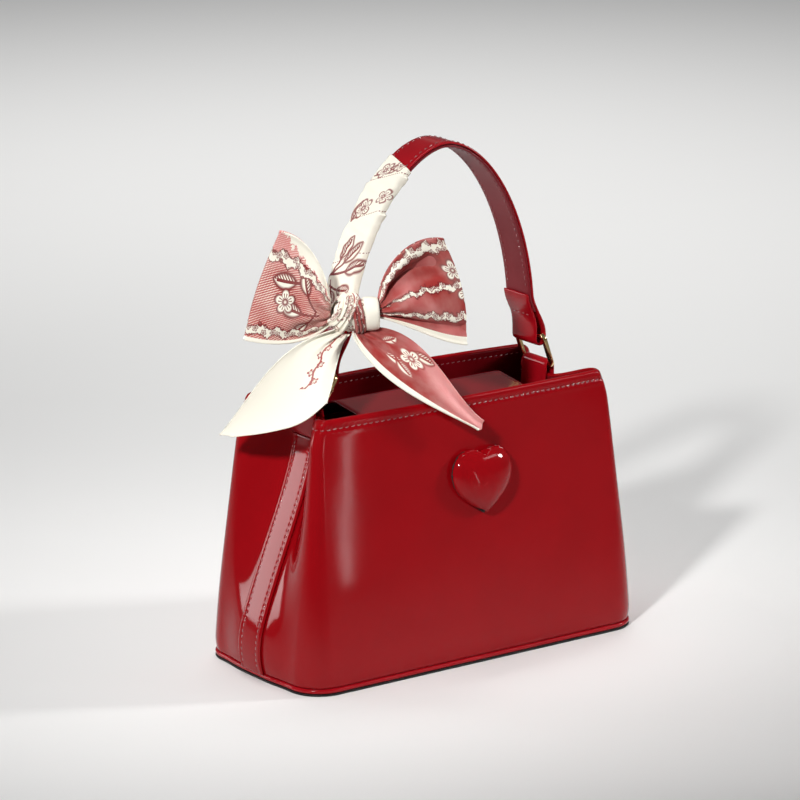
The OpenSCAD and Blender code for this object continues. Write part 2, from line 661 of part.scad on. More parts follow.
// Scarf wrap: a sleeve round the left leg of the strap, with a raised edge at every turn
wrap_gap = ply_gap;
wrap_last = len(arch_path) - 2;
wrap_first = round(wrap_start_share * len(arch_path));
wrap_foot = fold_back_top + wrap_above;
wrap_rows = [for (i = [wrap_first:wrap_last]) if (arch_path[i][1] > wrap_foot) i];
wrap_side = strap_w / 2 + wrap_gap;
wrap_depth = 2 * ply_t + ply_gap;
wrap_lap = 0.5;
// Corners of the sleeve as [across the strap, through the strap], round from the outer face
wrap_round_shares = [[-1, 0], [-0.5, 0], [0, 0], [0.5, 0], [1, 0], [1, 1], [0.5, 1], [0, 1], [-0.5, 1], [-1, 1]];
wrap_n = len(wrap_round_shares);
function wrap_ring(i, t) = let (p = arch_path[i], d = unit(arch_path[i + 1] - arch_path[i - 1]),
        inward = [-d[1], d[0]], s = norm(p - arch_path[wrap_first]))
    [for (k = [0:wrap_n - 1]) let (c = wrap_round_shares[k], turn = (s / wrap_pitch + k / wrap_n) % 1,
            grow = t == 0 ? 0 : t + wrap_lap * turn, deep = c[1] == 0 ? -wrap_gap - grow : wrap_depth + wrap_gap + grow,
            q = p + inward * deep)
        [q[0], (wrap_side + grow) * c[0], q[1]]];
module scarf_wrap() {
    m = len(wrap_rows);
    n = wrap_n;
    outer = [for (i = wrap_rows) wrap_ring(i, silk_t)];
    inner = [for (i = wrap_rows) wrap_ring(i, 0)];
    pts = concat([for (r = outer) each r], [for (r = inner) each r]);
    q = m * n;
    faces = concat(
        [for (j = [0:m - 2], i = [0:n - 1]) let (a = j * n + i, b = j * n + (i + 1) % n)
            each [[a, b + n, b], [a, a + n, b + n], [q + a, q + b, q + b + n], [q + a, q + b + n, q + a + n]]],
        [for (i = [0:n - 1]) let (b = (i + 1) % n, e = (m - 1) * n)
            each [[i, q + b, q + i], [i, b, q + b], [e + i, q + e + b, e + b], [e + i, q + e + i, q + e + b]]]);
    color(cream) polyhedron(points = pts, faces = faces, convexity = 8);
}

// Knot and bow stand in a frame of their own, turned towards the front left. The knot is
// tied against the front of the wrap.
knot_y = wrap_side + silk_t + wrap_lap + ply_gap + knot_d / 2;
knot_angle = 180 - asin(pow(knot_rise - arch_foot_rise, 1 / arch_power_share) / pow(arch_rise, 1 / arch_power_share));
knot_x = arch_point(knot_angle)[0] - knot_out;
module in_bow() {
    translate([knot_x, -knot_y, knot_z]) rotate([0, 0, -bow_turn]) children();
}
knot_n = 16;
knot_rings = 7;
lobe_depth_share = 0.09;
knot_twist = 40;
function knot_swell(a) = 1 + lobe_depth_share * cos(3 * a + knot_twist);
function knot_point(a, e) = let (f = lerp(1, knot_swell(a), cos(e)))
    [knot_w / 2 * f * cos(e) * cos(a), knot_d / 2 * f * cos(e) * sin(a), knot_h / 2 * sin(e)];
module scarf_knot() {
    pts = concat([[0, 0, -knot_h / 2], [0, 0, knot_h / 2]],
        [for (j = [1:knot_rings], i = [0:knot_n - 1])
            knot_point(360 * i / knot_n, lerp(-90, 90, j / (knot_rings + 1)))]);
    color(rose) in_bow() polyhedron(points = pts, faces = ball_faces(knot_n, knot_rings));
}

// Bow loops: each is a ribbon that leaves the knot, fans out, folds over at its far end and
// comes back behind. Edges are cubic curves in shares of the loop's length.
loop_cols = 7;
loop_rows = 8;
function loop_root(a) = knot_w / 2 * knot_swell(a) + 2 * ply_gap;
right_low_shares = [[0, -0.03], [0.34, -0.09], [0.62, -0.26], [0.96, -0.3]];
right_high_shares = [[0, 0.08], [0.02, 0.36], [0.33, 0.65], [0.7, 0.61]];
left_low_shares = [[0, -0.08], [0.28, -0.26], [0.67, -0.27], [1.05, -0.19]];
left_high_shares = [[0, 0.15], [0.05, 0.41], [0.22, 0.75], [0.6, 0.83]];
right_swell_share = 0.085;
left_swell_share = 0.12;
pleat_share = 0.16;
hollow_share = 0.55;
function loop_point(low, high, len_l, bulge, root, u, t, side) =
    let (a = cubic(low, u), b = cubic(high, u), p = lerp(a, b, t),
        swell = bulge * sin(180 * t) * u,
        puff = loop_puff * sin(180 * pow(u, 0.85)) * (0.35 + 0.65 * sin(180 * t))
            + silk_t * (0.6 + 0.2 * u),
        pleat = pleat_share * loop_puff * sin(720 * t) * sin(180 * u),
        sink = side < 0 ? hollow_share * loop_puff * sin(180 * u) * smooth(2 * t - 1) : 0)
    [root + (len_l - root) * (p[0] + swell), side * (puff - sink) + pleat, len_l * p[1]];
function loop_grid(low, high, len_l, bulge, root) = concat(
    [for (j = [0:loop_rows]) [for (i = [0:loop_cols])
        loop_point(low, high, len_l, bulge, root, j / loop_rows, i / loop_cols, -1)]],
    [for (j = [loop_rows - 1:-1:0]) [for (i = [0:loop_cols])
        loop_point(low, high, len_l, bulge, root, j / loop_rows, i / loop_cols, 1)]]);
module scarf_loop_right() {
    color(rose) in_bow() cloth(
        loop_grid(right_low_shares, right_high_shares, loop_right_l, right_swell_share, loop_root(0)), silk_t);
}
module scarf_loop_left() {
    color(rose) in_bow() mirror([1, 0, 0])
        cloth(loop_grid(left_low_shares, left_high_shares, loop_left_l, left_swell_share,
            loop_root(180)), silk_t);
}

// Tails: each hangs from under the knot as a cloth between two edge curves. The places are
// offsets from the knot, as shares of the rim's height above the floor.
tail_cols = 6;
tail_rows = 10;
left_in_shares = [[-0.02, -0.005, 0], [-0.13, -0.055, -0.15], [-0.17, -0.13, -0.23], [-0.24, -0.145, -0.315]];
left_out_shares = [[-0.065, 0.005, 0], [-0.35, -0.02, -0.045], [-0.31, 0.185, -0.305], [-0.38, 0.27, -0.445]];
right_in_shares = [[-0.02, -0.03, 0], [0, -0.145, -0.235], [0.215, -0.24, -0.33], [0.38, -0.245, -0.43]];
right_out_shares = [[0.06, -0.025, 0], [0.25, -0.125, -0.065], [0.255, -0.24, -0.295], [0.39, -0.245, -0.415]];
tail_wave = 1.6;
hem_sag = 2;
root_room = 0.9;
least_root_share = 0.1;
// Depth of the knot's underside below its middle, at a place beside its middle
function under_knot(x, y) = let (s = (x * cos(bow_turn) - y * sin(bow_turn)) / (knot_w / 2),
        d = (x * sin(bow_turn) + y * cos(bow_turn)) / (knot_d / 2))
    knot_h / 2 * sqrt(max(least_root_share, 1 - s * s - d * d));
function tail_root(p) = [p[0], p[1], -under_knot(p[0], p[1]) - root_room];
function tail_grid(inner, outer) = [for (j = [0:tail_rows]) let (v = j / tail_rows)
    [for (i = [0:tail_cols]) let (t = i / tail_cols, c = [for (k = [0:3]) rim_h * lerp(inner[k], outer[k], t)])
        cubic([tail_root(c[0]), c[1], c[2], c[3]], v)
            + [0, tail_wave * sin(540 * t) * v * (1.2 - v), -hem_sag * sin(180 * t) * v * v]]];
module scarf_tail_left() {
    color(cream) translate([knot_x, -knot_y, knot_z])
        cloth(tail_grid(left_in_shares, left_out_shares), silk_t);
}
module scarf_tail_right() {
    color(rose) translate([knot_x, -knot_y, knot_z])
        cloth(tail_grid(right_in_shares, right_out_shares), silk_t);
}

base_panel();
base_piping();
base_board();
front_panel();
back_panel();
front_board();
back_board();
front_facing();
back_facing();
lining_front();
lining_back();
lining_base();
side_strip_left();
side_strip_right();
heart_cover();
heart_filling();
heart_plate();
heart_rivets();
magnet_front();
tab_left();
tab_right();
closure_flap();
flap_lining();
magnet_flap();
ring_left();
ring_right();
handle_outer_ply();
handle_inner_ply();
scarf_wrap();
scarf_knot();
scarf_loop_left();
scarf_loop_right();
scarf_tail_left();
scarf_tail_right();
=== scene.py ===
"""Handbag with a scarf on its handle: the visual model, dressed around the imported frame.

Sizes are in millimetres, as the part's source has them, and become metres when a mesh is made.
+X is right, +Y is back and +Z is up. The origin is the centre of the base, on the floor.
"""
import logging
import math
from collections.abc import Callable
from dataclasses import dataclass
from enum import Enum
from functools import partialmethod

import bpy
import numpy as np
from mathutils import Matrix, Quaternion, Vector


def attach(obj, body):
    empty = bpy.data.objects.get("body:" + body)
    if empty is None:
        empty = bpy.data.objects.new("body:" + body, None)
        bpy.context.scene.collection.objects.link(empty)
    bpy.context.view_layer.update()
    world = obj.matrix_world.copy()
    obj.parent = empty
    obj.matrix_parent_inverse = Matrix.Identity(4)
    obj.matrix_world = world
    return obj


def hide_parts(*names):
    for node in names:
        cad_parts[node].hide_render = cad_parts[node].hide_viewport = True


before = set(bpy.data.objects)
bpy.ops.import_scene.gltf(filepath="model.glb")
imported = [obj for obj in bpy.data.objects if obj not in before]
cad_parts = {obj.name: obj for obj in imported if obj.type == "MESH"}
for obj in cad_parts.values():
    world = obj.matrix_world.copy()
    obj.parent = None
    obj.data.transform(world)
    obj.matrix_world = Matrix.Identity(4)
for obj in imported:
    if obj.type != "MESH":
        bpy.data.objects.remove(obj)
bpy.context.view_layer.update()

MM = 0.001
LOG = logging.getLogger("handbag")

Array = np.ndarray
Colour = tuple[float, float, float]
Socket = bpy.types.NodeSocket
Object = bpy.types.Object
TAU = 2 * math.pi
EDGE_STEPS = 4
FLIP_X = np.array([-1.0, 1.0, 1.0])
FLIP_Y = np.array([1.0, -1.0, 1.0])


# Small maths

def lerp(a: float | Array, b: float | Array, t: float | Array) -> float | Array:
    """Value between a and b at share t."""
    return a + (b - a) * t


def clamp01(t: float | Array) -> float | Array:
    """Limits t to 0..1."""
    return np.clip(t, 0.0, 1.0)


def smooth(t: float | Array) -> float | Array:
    """Smooth step of t over 0..1."""
    c = clamp01(t)
    return c * c * (3 - 2 * c)


def bump(x: float | Array, centre: float, reach: float) -> float | Array:
    """Bell curve of height 1 at centre."""
    return np.exp(-((x - centre) / reach) ** 2)


def unit(v: Array) -> Array:
    """Vectors of length 1 along v's last axis."""
    return v / np.maximum(np.linalg.norm(v, axis=-1, keepdims=True), 1e-9)


def cubic(points: Array, t: Array) -> Array:
    """Points of a cubic curve.

    Args:
        points: four control points, one per row.
        t: shares along the curve.

    Returns:
        One row per share.
    """
    p = np.asarray(points, float)
    t = np.asarray(t, float)[..., None]
    return ((1 - t) ** 3 * p[0] + 3 * (1 - t) ** 2 * t * p[1]
            + 3 * (1 - t) * t ** 2 * p[2] + t ** 3 * p[3])


def path_length(path: Array) -> Array:
    """Distance along a path at each of its points."""
    return np.concatenate([[0.0], np.cumsum(np.linalg.norm(np.diff(path, axis=0), axis=1))])


def resample(path: Array, at: Array, *others: Array) -> list[Array]:
    """Values of a path, and of rows that go with it, at distances along it.

    Args:
        path: points in order.
        at: distances from the first point.
        others: further arrays with one row per point.

    Returns:
        The path and each further array, with one row per distance.
    """
    s = path_length(path)
    return [np.stack([np.interp(at, s, a[:, k]) for k in range(a.shape[1])], 1)
            for a in (path, *others)]


def headings(path: Array) -> Array:
    """Unit direction of a path at each of its points."""
    return unit(np.vstack([path[1:], path[-1:]]) - np.vstack([path[:1], path[:-1]]))


def path_shift(path: Array, t: float) -> Array:
    """A drawing's path in X and Z, moved to its left by t."""
    d = headings(path)
    return path + t * np.stack([-d[:, 1], d[:, 0]], 1)


def crowded(count: int, spare: float) -> Array:
    """Shares from 0 to 1 that lie closer at both ends, the more so the smaller spare is."""
    t = -np.cos(np.linspace(spare, math.pi - spare, count))
    return (t - t[0]) / (t[-1] - t[0])


def quarter_turns(centres: list[tuple[float, float]], first: float, radius: float,
                  steps: int) -> tuple[Array, Array]:
    """Four quarter turns in a plane, as round a box with rounded corners.

    Args:
        centres: centre of each turn.
        first: angle at which the first one starts, in degrees.
        radius: radius of the turns.
        steps: steps in each of them.

    Returns:
        The points and their outward directions.
    """
    a = np.radians(first + 90 * np.arange(4)[:, None] + np.linspace(0, 90, steps + 1))
    out = np.stack([np.cos(a), np.sin(a)], -1)
    return (np.array(centres)[:, None] + radius * out).reshape(-1, 2), out.reshape(-1, 2)


def ripple(p: Array, size: float, seed: float) -> Array:
    """Smooth wandering between -1 and 1, the same at every run.

    Args:
        p: points, in millimetres.
        size: rough distance between two crests.
        seed: number that sets one pattern apart from another.

    Returns:
        One value per point.
    """
    k = TAU / size
    x, y, z = p[..., 0], p[..., 1], p[..., 2]
    return (np.sin(k * (x * 0.83 + z * 0.41) + seed) * np.cos(k * (y * 0.9 - z * 0.62) + 1.7 * seed)
            + 0.5 * np.sin(k * (1.9 * z - 0.7 * x + 0.6 * y) + 2.3 * seed)
            + 0.3 * np.cos(k * (2.7 * x + 1.3 * y + 0.9 * z) - seed)) / 1.8


# Meshes

def make_object(name: str, points: Array, faces: list | Array, uv: Array | None = None,
                slots: Array | None = None) -> Object:
    """Makes a smooth mesh object from points in millimetres.

    Args:
        name: the piece's name.
        points: one row per vertex.
        faces: vertex numbers of each face.
        uv: one row per vertex, in metres on the flat material.
        slots: number of the material slot of each face.

    Returns:
        The object, linked to the scene.
    """
    mesh = bpy.data.meshes.new(name)
    mesh.from_pydata((np.asarray(points, float) * MM).tolist(), [], [list(map(int, f)) for f in faces])
    mesh.polygons.foreach_set("use_smooth", np.ones(len(mesh.polygons), bool))
    if uv is not None:
        layer = mesh.uv_layers.new(name="Flat")
        at = np.empty(len(mesh.loops), np.int32)
        mesh.loops.foreach_get("vertex_index", at)
        layer.data.foreach_set("uv", np.asarray(uv, np.float32)[at].ravel())
    if slots is not None:
        mesh.polygons.foreach_set("material_index", np.asarray(slots, np.int32))
    mesh.validate()
    mesh.update()
    obj = bpy.data.objects.new(name, mesh)
    bpy.context.scene.collection.objects.link(obj)
    return obj


def grid_faces(rows: int, cols: int, start: int = 0, wrap: bool = False) -> Array:
    """Quads over a grid of vertices.

    Args:
        rows: rows of vertices.
        cols: vertices in a row.
        start: number of the first vertex.
        wrap: joins each row's last vertex to its first.

    Returns:
        One row of four vertex numbers per face.
    """
    j = np.arange(rows - 1)[:, None]
    i = np.arange(cols if wrap else cols - 1)[None, :]
    a = start + j * cols + i
    b = start + j * cols + (i + 1) % cols
    return np.stack([a, b, b + cols, a + cols], -1).reshape(-1, 4)


def grid_normals(g: Array) -> Array:
    """Unit normals of a grid of points."""
    return unit(np.cross(np.gradient(g, axis=0), np.gradient(g, axis=1)))


def border_of(rows: int, cols: int) -> Array:
    """Grid positions round the edge of a grid.

    Args:
        rows: rows of the grid.
        cols: columns of the grid.

    Returns:
        Row and column of each position, in order.
    """
    top = [(0, i) for i in range(cols)]
    right = [(j, cols - 1) for j in range(1, rows)]
    low = [(rows - 1, i) for i in range(cols - 2, -1, -1)]
    left = [(j, 0) for j in range(rows - 2, 0, -1)]
    return np.array(top + right + low + left)


def slab(name: str, mid: Array, thickness: float | Array, uv: Array | None = None,
         normal: Array | None = None) -> Object:
    """A sheet of material with rounded edges, from the points of its middle.

    Args:
        name: the piece's name.
        mid: grid of points.
        thickness: one value, or one per grid point.
        uv: flat place of each grid point, in millimetres.
        normal: direction of the first side at each grid point.

    Returns:
        The object. Its edge faces have material slot 1.
    """
    rows, cols = mid.shape[:2]
    n = grid_normals(mid) if normal is None else normal
    half = np.broadcast_to(np.asarray(thickness, float) / 2, (rows, cols))[..., None]
    edge = border_of(rows, cols)
    out = np.zeros_like(mid)
    out[0] += unit(mid[0] - mid[1])
    out[-1] += unit(mid[-1] - mid[-2])
    out[:, 0] += unit(mid[:, 0] - mid[:, 1])
    out[:, -1] += unit(mid[:, -1] - mid[:, -2])
    out = unit(out)
    at = (edge[:, 0], edge[:, 1])
    rings = []
    for k in range(1, EDGE_STEPS):
        a = math.pi / 2 - math.pi * k / EDGE_STEPS
        rings.append(mid[at] + half[at] * (out[at] * math.cos(a) + n[at] * math.sin(a)))
    points = np.concatenate([(mid + n * half).reshape(-1, 3), (mid - n * half).reshape(-1, 3), *rings])
    size, m = rows * cols, len(edge)
    first = edge[:, 0] * cols + edge[:, 1]
    loops = [first] + [2 * size + k * m + np.arange(m) for k in range(EDGE_STEPS - 1)] + [size + first]
    faces = [grid_faces(rows, cols), grid_faces(rows, cols, size)[:, ::-1]]
    for a, b in zip(loops, loops[1:]):
        faces.append(np.stack([np.roll(a, -1), a, b, np.roll(b, -1)], -1))
    slots = np.concatenate([np.zeros(2 * len(faces[0])), np.ones(EDGE_STEPS * m)])
    flat = None
    if uv is not None:
        u = np.asarray(uv, float) * MM
        flat = np.concatenate([u.reshape(-1, 2), u.reshape(-1, 2), *[u[at]] * (EDGE_STEPS - 1)])
    return make_object(name, points, np.concatenate(faces), flat, slots)


def swept(name: str, rows: Array, uv: Array | None = None, around: bool = False) -> Object:
    """A solid whose closed cross sections are the rows of a grid.

    Args:
        name: the piece's name.
        rows: closed cross sections, one after another.
        uv: flat place of each point, in millimetres.
        around: joins the last section to the first, instead of closing both with a face.

    Returns:
        The object.
    """
    m, k = rows.shape[:2]
    faces = [list(f) for f in grid_faces(m, k, wrap=True)]
    e = (m - 1) * k
    if around:
        faces += [[e + i, e + (i + 1) % k, (i + 1) % k, i] for i in range(k)]
    else:
        faces += [list(range(k))[::-1], [e + i for i in range(k)]]
    flat = None if uv is None else uv.reshape(-1, 2) * MM
    return make_object(name, rows.reshape(-1, 3), faces, flat)


def flat_places(g: Array, width: float | None = None) -> Array:
    """Flat place of each point of a grid: along its columns and across its rows.

    Args:
        g: grid of points.
        width: the material's true width, where gathers hide some of it.

    Returns:
        Grid of places in millimetres.
    """
    along = np.concatenate([[0.0], np.cumsum(np.linalg.norm(np.diff(g, axis=0), axis=2).mean(1))])
    across = np.concatenate([[0.0], np.cumsum(np.linalg.norm(np.diff(g, axis=1), axis=2).mean(0))])
    if width is not None:
        across = across / across[-1] * width
    u, v = np.meshgrid(across, along)
    return np.stack([u, v], -1)


@dataclass
class StitchRow:
    """A row of thread stitches laid along a path on a surface."""

    pitch: float = 3.9
    length: float = 2.7
    thread: float = 0.7
    slant: float = 9.0

    def build(self, name: str, path: Array, normal: Array, closed_ends: float = 1.5) -> Object:
        """Makes the row as one mesh.

        Args:
            name: the piece's name.
            path: points on the surface.
            normal: outward direction at each point.
            closed_ends: distance left free at both ends.

        Returns:
            The object.
        """
        total = path_length(path)[-1]
        count = max(2, int((total - 2 * closed_ends) / self.pitch))
        middles = closed_ends + (total - 2 * closed_ends) * (np.arange(count) + 0.5) / count
        along, around = 7, 6
        s = np.linspace(-0.5, 0.5, along)
        at = middles[:, None] + s[None, :] * self.length
        spine, out = resample(path, at.ravel(), normal)
        spine = spine.reshape(count, along, 3)
        out = unit(out.reshape(count, along, 3))
        run = unit(np.gradient(spine, axis=1))
        side = unit(np.cross(out, run))
        rise = self.thread * (0.34 - 1.15 * np.abs(2 * s) ** 3.2)
        lean = math.tan(math.radians(self.slant)) * s * self.length
        spine = spine + out * rise[None, :, None] + side * lean[None, :, None]
        fat = self.thread / 2 * np.sqrt(np.clip(1 - np.abs(2 * s) ** 5, 0.08, 1))
        angle = TAU * np.arange(around) / around
        ring = (side[:, :, None] * np.cos(angle)[None, None, :, None]
                + out[:, :, None] * np.sin(angle)[None, None, :, None])
        points = spine[:, :, None] + ring * fat[None, :, None, None]
        faces = []
        one = grid_faces(along, around, wrap=True)
        for c in range(count):
            base = c * along * around
            faces += (one + base).tolist()
            faces.append([base + i for i in range(around)][::-1])
            faces.append([base + (along - 1) * around + i for i in range(around)])
        u = np.broadcast_to(at.reshape(count, along)[:, :, None], (count, along, around))
        v = np.broadcast_to((angle / TAU)[None, None, :] * self.thread * 3, u.shape)
        return make_object(name, points.reshape(-1, 3), faces, np.stack([u, v], -1).reshape(-1, 2) * MM)

    def sew(self, name: str, body: str, path: Array, normal: Array, closed_ends: float = 1.5) -> None:
        """Makes the row and lets it ride on a body."""
        settle(self.build(name, path, normal, closed_ends), body, "red_leather", (), RED_THREAD)


# Node helpers

class Value:
    """A socket's value in one tree. Operators and the methods below put Math nodes on it."""

    def __init__(self, wiring: "Wiring", socket: Socket) -> None:
        """Keeps the tree's wiring and the socket."""
        self.wiring, self.socket = wiring, socket

    def do(self, operation: str, other: object = 0.0) -> "Value":
        """A Math node of this value and another."""
        return self.wiring.value("Math", 0, {0: self, 1: other}, operation=operation)

    def behind(self, operation: str, other: object) -> "Value":
        """A Math node of another value and this one."""
        return self.wiring.value("Math", 0, {0: other, 1: self}, operation=operation)

    __add__ = __radd__ = partialmethod(do, "ADD")
    __sub__ = partialmethod(do, "SUBTRACT")
    __rsub__ = partialmethod(behind, "SUBTRACT")
    __mul__ = __rmul__ = partialmethod(do, "MULTIPLY")
    __truediv__ = partialmethod(do, "DIVIDE")
    __pow__ = partialmethod(do, "POWER")
    __lt__ = partialmethod(do, "LESS_THAN")
    __gt__ = partialmethod(do, "GREATER_THAN")
    __or__ = partialmethod(do, "MAXIMUM")
    __abs__ = partialmethod(do, "ABSOLUTE")
    sin = partialmethod(do, "SINE")
    cos = partialmethod(do, "COSINE")
    floor = partialmethod(do, "FLOOR")

    def between(self, low: object, high: object, out_low: float = 0.0, out_high: float = 1.0) -> "Value":
        """This value mapped from low..high to out_low..out_high, smoothly and held at both ends."""
        ends = {"Value": self, "From Min": low, "From Max": high, "To Min": out_low, "To Max": out_high}
        return self.wiring.value("MapRange", 0, ends, interpolation_type="SMOOTHSTEP")


class Wiring:
    """Places nodes in one tree and links them."""

    def __init__(self, tree: bpy.types.NodeTree) -> None:
        """Keeps the tree and clears it."""
        self.tree = tree
        tree.nodes.clear()

    def put(self, kind: str, inputs: dict | None = None, **settings: object) -> bpy.types.Node:
        """Adds a node.

        Args:
            kind: the node's type without its "ShaderNode" prefix.
            inputs: what goes into each input, by name or number.
            settings: the node's own settings.

        Returns:
            The node.
        """
        node = self.tree.nodes.new(kind if kind.startswith("Node") else "ShaderNode" + kind)
        for key, value in settings.items():
            setattr(node, key, value)
        for key, value in (inputs or {}).items():
            self.feed(node.inputs[key], value)
        return node

    def value(self, kind: str, output: int | str, inputs: dict | None = None, **settings: object) -> Value:
        """One output of a new node, which put describes."""
        return Value(self, self.put(kind, inputs, **settings).outputs[output])

    def feed(self, target: Socket, value: object) -> None:
        """Feeds an input.

        Args:
            target: the input.
            value: a value or socket to link, or a constant.
        """
        source = value.socket if isinstance(value, Value) else value
        if isinstance(source, bpy.types.NodeSocket):
            self.tree.links.new(source, target)
        elif isinstance(source, tuple) and target.type == "RGBA":
            target.default_value = (*source, 1.0)
        else:
            target.default_value = source

    def mix(self, factor: Value, a: Value | Colour, b: Value | Colour) -> Value:
        """Colour between a and b."""
        return self.value("Mix", 2, {0: factor, 6: a, 7: b}, data_type="RGBA")

    def noise(self, place: Value, scale: Value | float, detail: float = 3.0, rough: float = 0.5) -> Value:
        """A noise texture over a place."""
        inputs = {"Vector": place, "Scale": scale, "Detail": detail, "Roughness": rough}
        return self.value("TexNoise", "Fac", inputs)

    def scaled(self, place: Value, by: Value | float) -> Value:
        """A place multiplied by a number."""
        return self.value("VectorMath", 0, {0: place, "Scale": by}, operation="SCALE")

    def split(self, place: Value) -> list[Value]:
        """The first two numbers of a place."""
        return [Value(self, out) for out in self.put("SeparateXYZ", {0: place}).outputs[:2]]

    def raised(self, height: Value, strength: float, distance: float) -> Value:
        """The surface's normal, bumped by a height."""
        return self.value("Bump", 0, {"Height": height, "Strength": strength, "Distance": distance})

    def flat_place(self) -> Value:
        """The piece's flat places, from its map."""
        return self.value("UVMap", 0, uv_map="Flat")

    def solid_place(self) -> Value:
        """The piece's places in space, at rest."""
        return self.value("TexCoord", "Object")


class Effect:
    """A shared shader effect: a node group that is built once.

    Its inputs have their usual values, and None for a place. wire gets them in this order.
    """

    name: str = ""
    inputs: dict[str, float | None] = {}
    outputs: tuple[str, ...] = ()

    @classmethod
    def tree(cls) -> bpy.types.NodeTree:
        """Makes the group the first time that it is asked for.

        Returns:
            The group.
        """
        found = bpy.data.node_groups.get(cls.name)
        if found:
            return found
        tree = bpy.data.node_groups.new(cls.name, "ShaderNodeTree")
        for key, value in cls.inputs.items():
            kind = "NodeSocketVector" if value is None else "NodeSocketFloat"
            socket = tree.interface.new_socket(key, in_out="INPUT", socket_type=kind)
            if value is not None:
                socket.default_value = value
        for key in cls.outputs:
            tree.interface.new_socket(key, in_out="OUTPUT", socket_type="NodeSocketFloat")
        w = Wiring(tree)
        start, end = w.put("NodeGroupInput"), w.put("NodeGroupOutput")
        given = [Value(w, start.outputs[key]) for key in cls.inputs]
        for key, value in zip(cls.outputs, cls.wire(w, *given)):
            w.feed(end.inputs[key], value)
        return tree

    @staticmethod
    def wire(w: Wiring, *given: Value) -> list[Value]:
        """Links the group's nodes.

        Args:
            w: the group's wiring.
            given: the group's inputs, in order.

        Returns:
            What goes to each output, in order.
        """
        raise NotImplementedError

    @classmethod
    def place(cls, w: Wiring, **values: object) -> list[Value]:
        """Puts the group into a material or into another group.

        Args:
            w: the wiring of the tree that it goes into.
            values: what goes into each input.

        Returns:
            The group's outputs.
        """
        node = w.put("Group", values, node_tree=cls.tree())
        return [Value(w, out) for out in node.outputs]


class LeatherGrain(Effect):
    """Fine pebble of glossy coated leather, with soft unevenness of its gloss."""

    name = "Leather grain"
    inputs = {"Place": None, "Pebble": 1.0, "Waves": 1.0}
    outputs = ("Height", "Cloud")

    @staticmethod
    def wire(w: Wiring, place: Value, pebble: Value, waves: Value) -> list[Value]:
        """Pebble from cell edges, long waves from noise."""
        cells = w.value("TexVoronoi", "Distance", {"Vector": place, "Scale": 1900.0, "Randomness": 1.0},
                        feature="DISTANCE_TO_EDGE")
        fine = (cells.between(0.0, 0.22) * 0.35 + w.noise(place, 2600.0, 2.0) * 0.5) * pebble
        height = fine * 0.012 + w.noise(place, 38.0, 2.0, 0.45) * waves * 0.5
        return [height, w.noise(place, 24.0, 4.0, 0.6)]


class EdgeWear(Effect):
    """Mask of raised edges, broken up as by handling."""

    name = "Edge wear"
    inputs = {"Place": None, "Amount": 0.5}
    outputs = ("Mask",)

    @staticmethod
    def wire(w: Wiring, place: Value, amount: Value) -> list[Value]:
        """Raised edges, times a broken noise."""
        edges = w.value("NewGeometry", "Pointiness").between(0.52, 0.62)
        return [edges * w.noise(place, 260.0, 5.0, 0.65).between(0.4, 0.68) * amount]


class FineScratches(Effect):
    """Hair-fine rubbing marks on metal and coated leather."""

    name = "Fine scratches"
    inputs = {"Place": None, "Scale": 400.0}
    outputs = ("Mask",)

    @staticmethod
    def wire(w: Wiring, place: Value, scale: Value) -> list[Value]:
        """Stretched noise, thinned to lines."""
        turned = {"Vector": place, "Rotation": (0.4, 0.7, 0.5), "Scale": (1.0, 0.06, 0.3)}
        return [w.noise(w.value("Mapping", 0, turned), scale).between(0.56, 0.7)]


class ClothWeave(Effect):
    """Plain weave of fine threads over a piece's flat places."""

    name = "Cloth weave"
    inputs = {"Place": None, "Threads": 4000.0}
    outputs = ("Height", "Thread")

    @staticmethod
    def wire(w: Wiring, place: Value, threads: Value) -> list[Value]:
        """Two crossed sets of threads that pass over each other in turn."""
        x, y = (part * threads for part in w.split(place))
        warp, weft = abs((x * math.pi).sin()), abs((y * math.pi).sin())
        turn = (x.floor() + y.floor()).do("PINGPONG", 1.0)
        return [warp * turn + weft * (1.0 - turn), turn]


# Printed motifs of the scarf

@dataclass(frozen=True)
class Stamp:
    """Where one motif is printed on the flat cloth, in metres and degrees."""

    at: tuple[float, float]
    degrees: float
    size: float


class FlowerShape(Effect):
    """One outlined five-petal flower of radius 1, with ribbed petals."""

    name = "Flower shape"
    inputs = {"Place": None, "Line": 0.1}
    outputs = ("Outline", "Inside")

    @staticmethod
    def wire(w: Wiring, place: Value, line: Value) -> list[Value]:
        """Petal outline, heart and ribs in polar places."""
        x, y = w.split(place)
        far = w.value("VectorMath", "Value", {0: place}, operation="LENGTH")
        angle = y.do("ARCTAN2", x)
        reach = abs((angle * 2.5).cos()) ** 0.55 * 0.55 + 0.4
        outline, core = (1.0 - abs(far - edge).between(0.0, line) for edge in (reach, 0.2))
        ribs = abs((angle * 7.5).sin()).between(0.75, 0.95) * (far < reach * 0.7) * (far > 0.3)
        return [outline | core | ribs, far < reach]


class LeafShape(Effect):
    """One outlined pointed leaf from 0 to 1 along its first axis, on a stem, with one half shaded."""

    name = "Leaf shape"
    inputs = {"Place": None, "Line": 0.06, "Stem": 0.8}
    outputs = ("Outline", "Inside")

    @staticmethod
    def wire(w: Wiring, place: Value, line: Value, stem: Value) -> list[Value]:
        """A lens with a rib, a stem and slanting veins."""
        x, y = w.split(place)
        y = y + x * (x - 1.0) * 0.16
        level = abs(x * 2.0 - 1.0)
        gap = abs(y) - (1.0 - level ** 2.2) * 0.26
        inside = gap < 0.0
        outline = (1.0 - abs(gap).between(0.0, line)) * (level < 1.05)
        rib = (abs(y) < line * 0.45) * (x < 0.85) * (x > stem * -1.0)
        veins = ((x - abs(y) * 0.9) * 52.0).sin().between(-0.5, 0.4)
        return [outline | rib | veins * inside * (y < 0.0), inside]


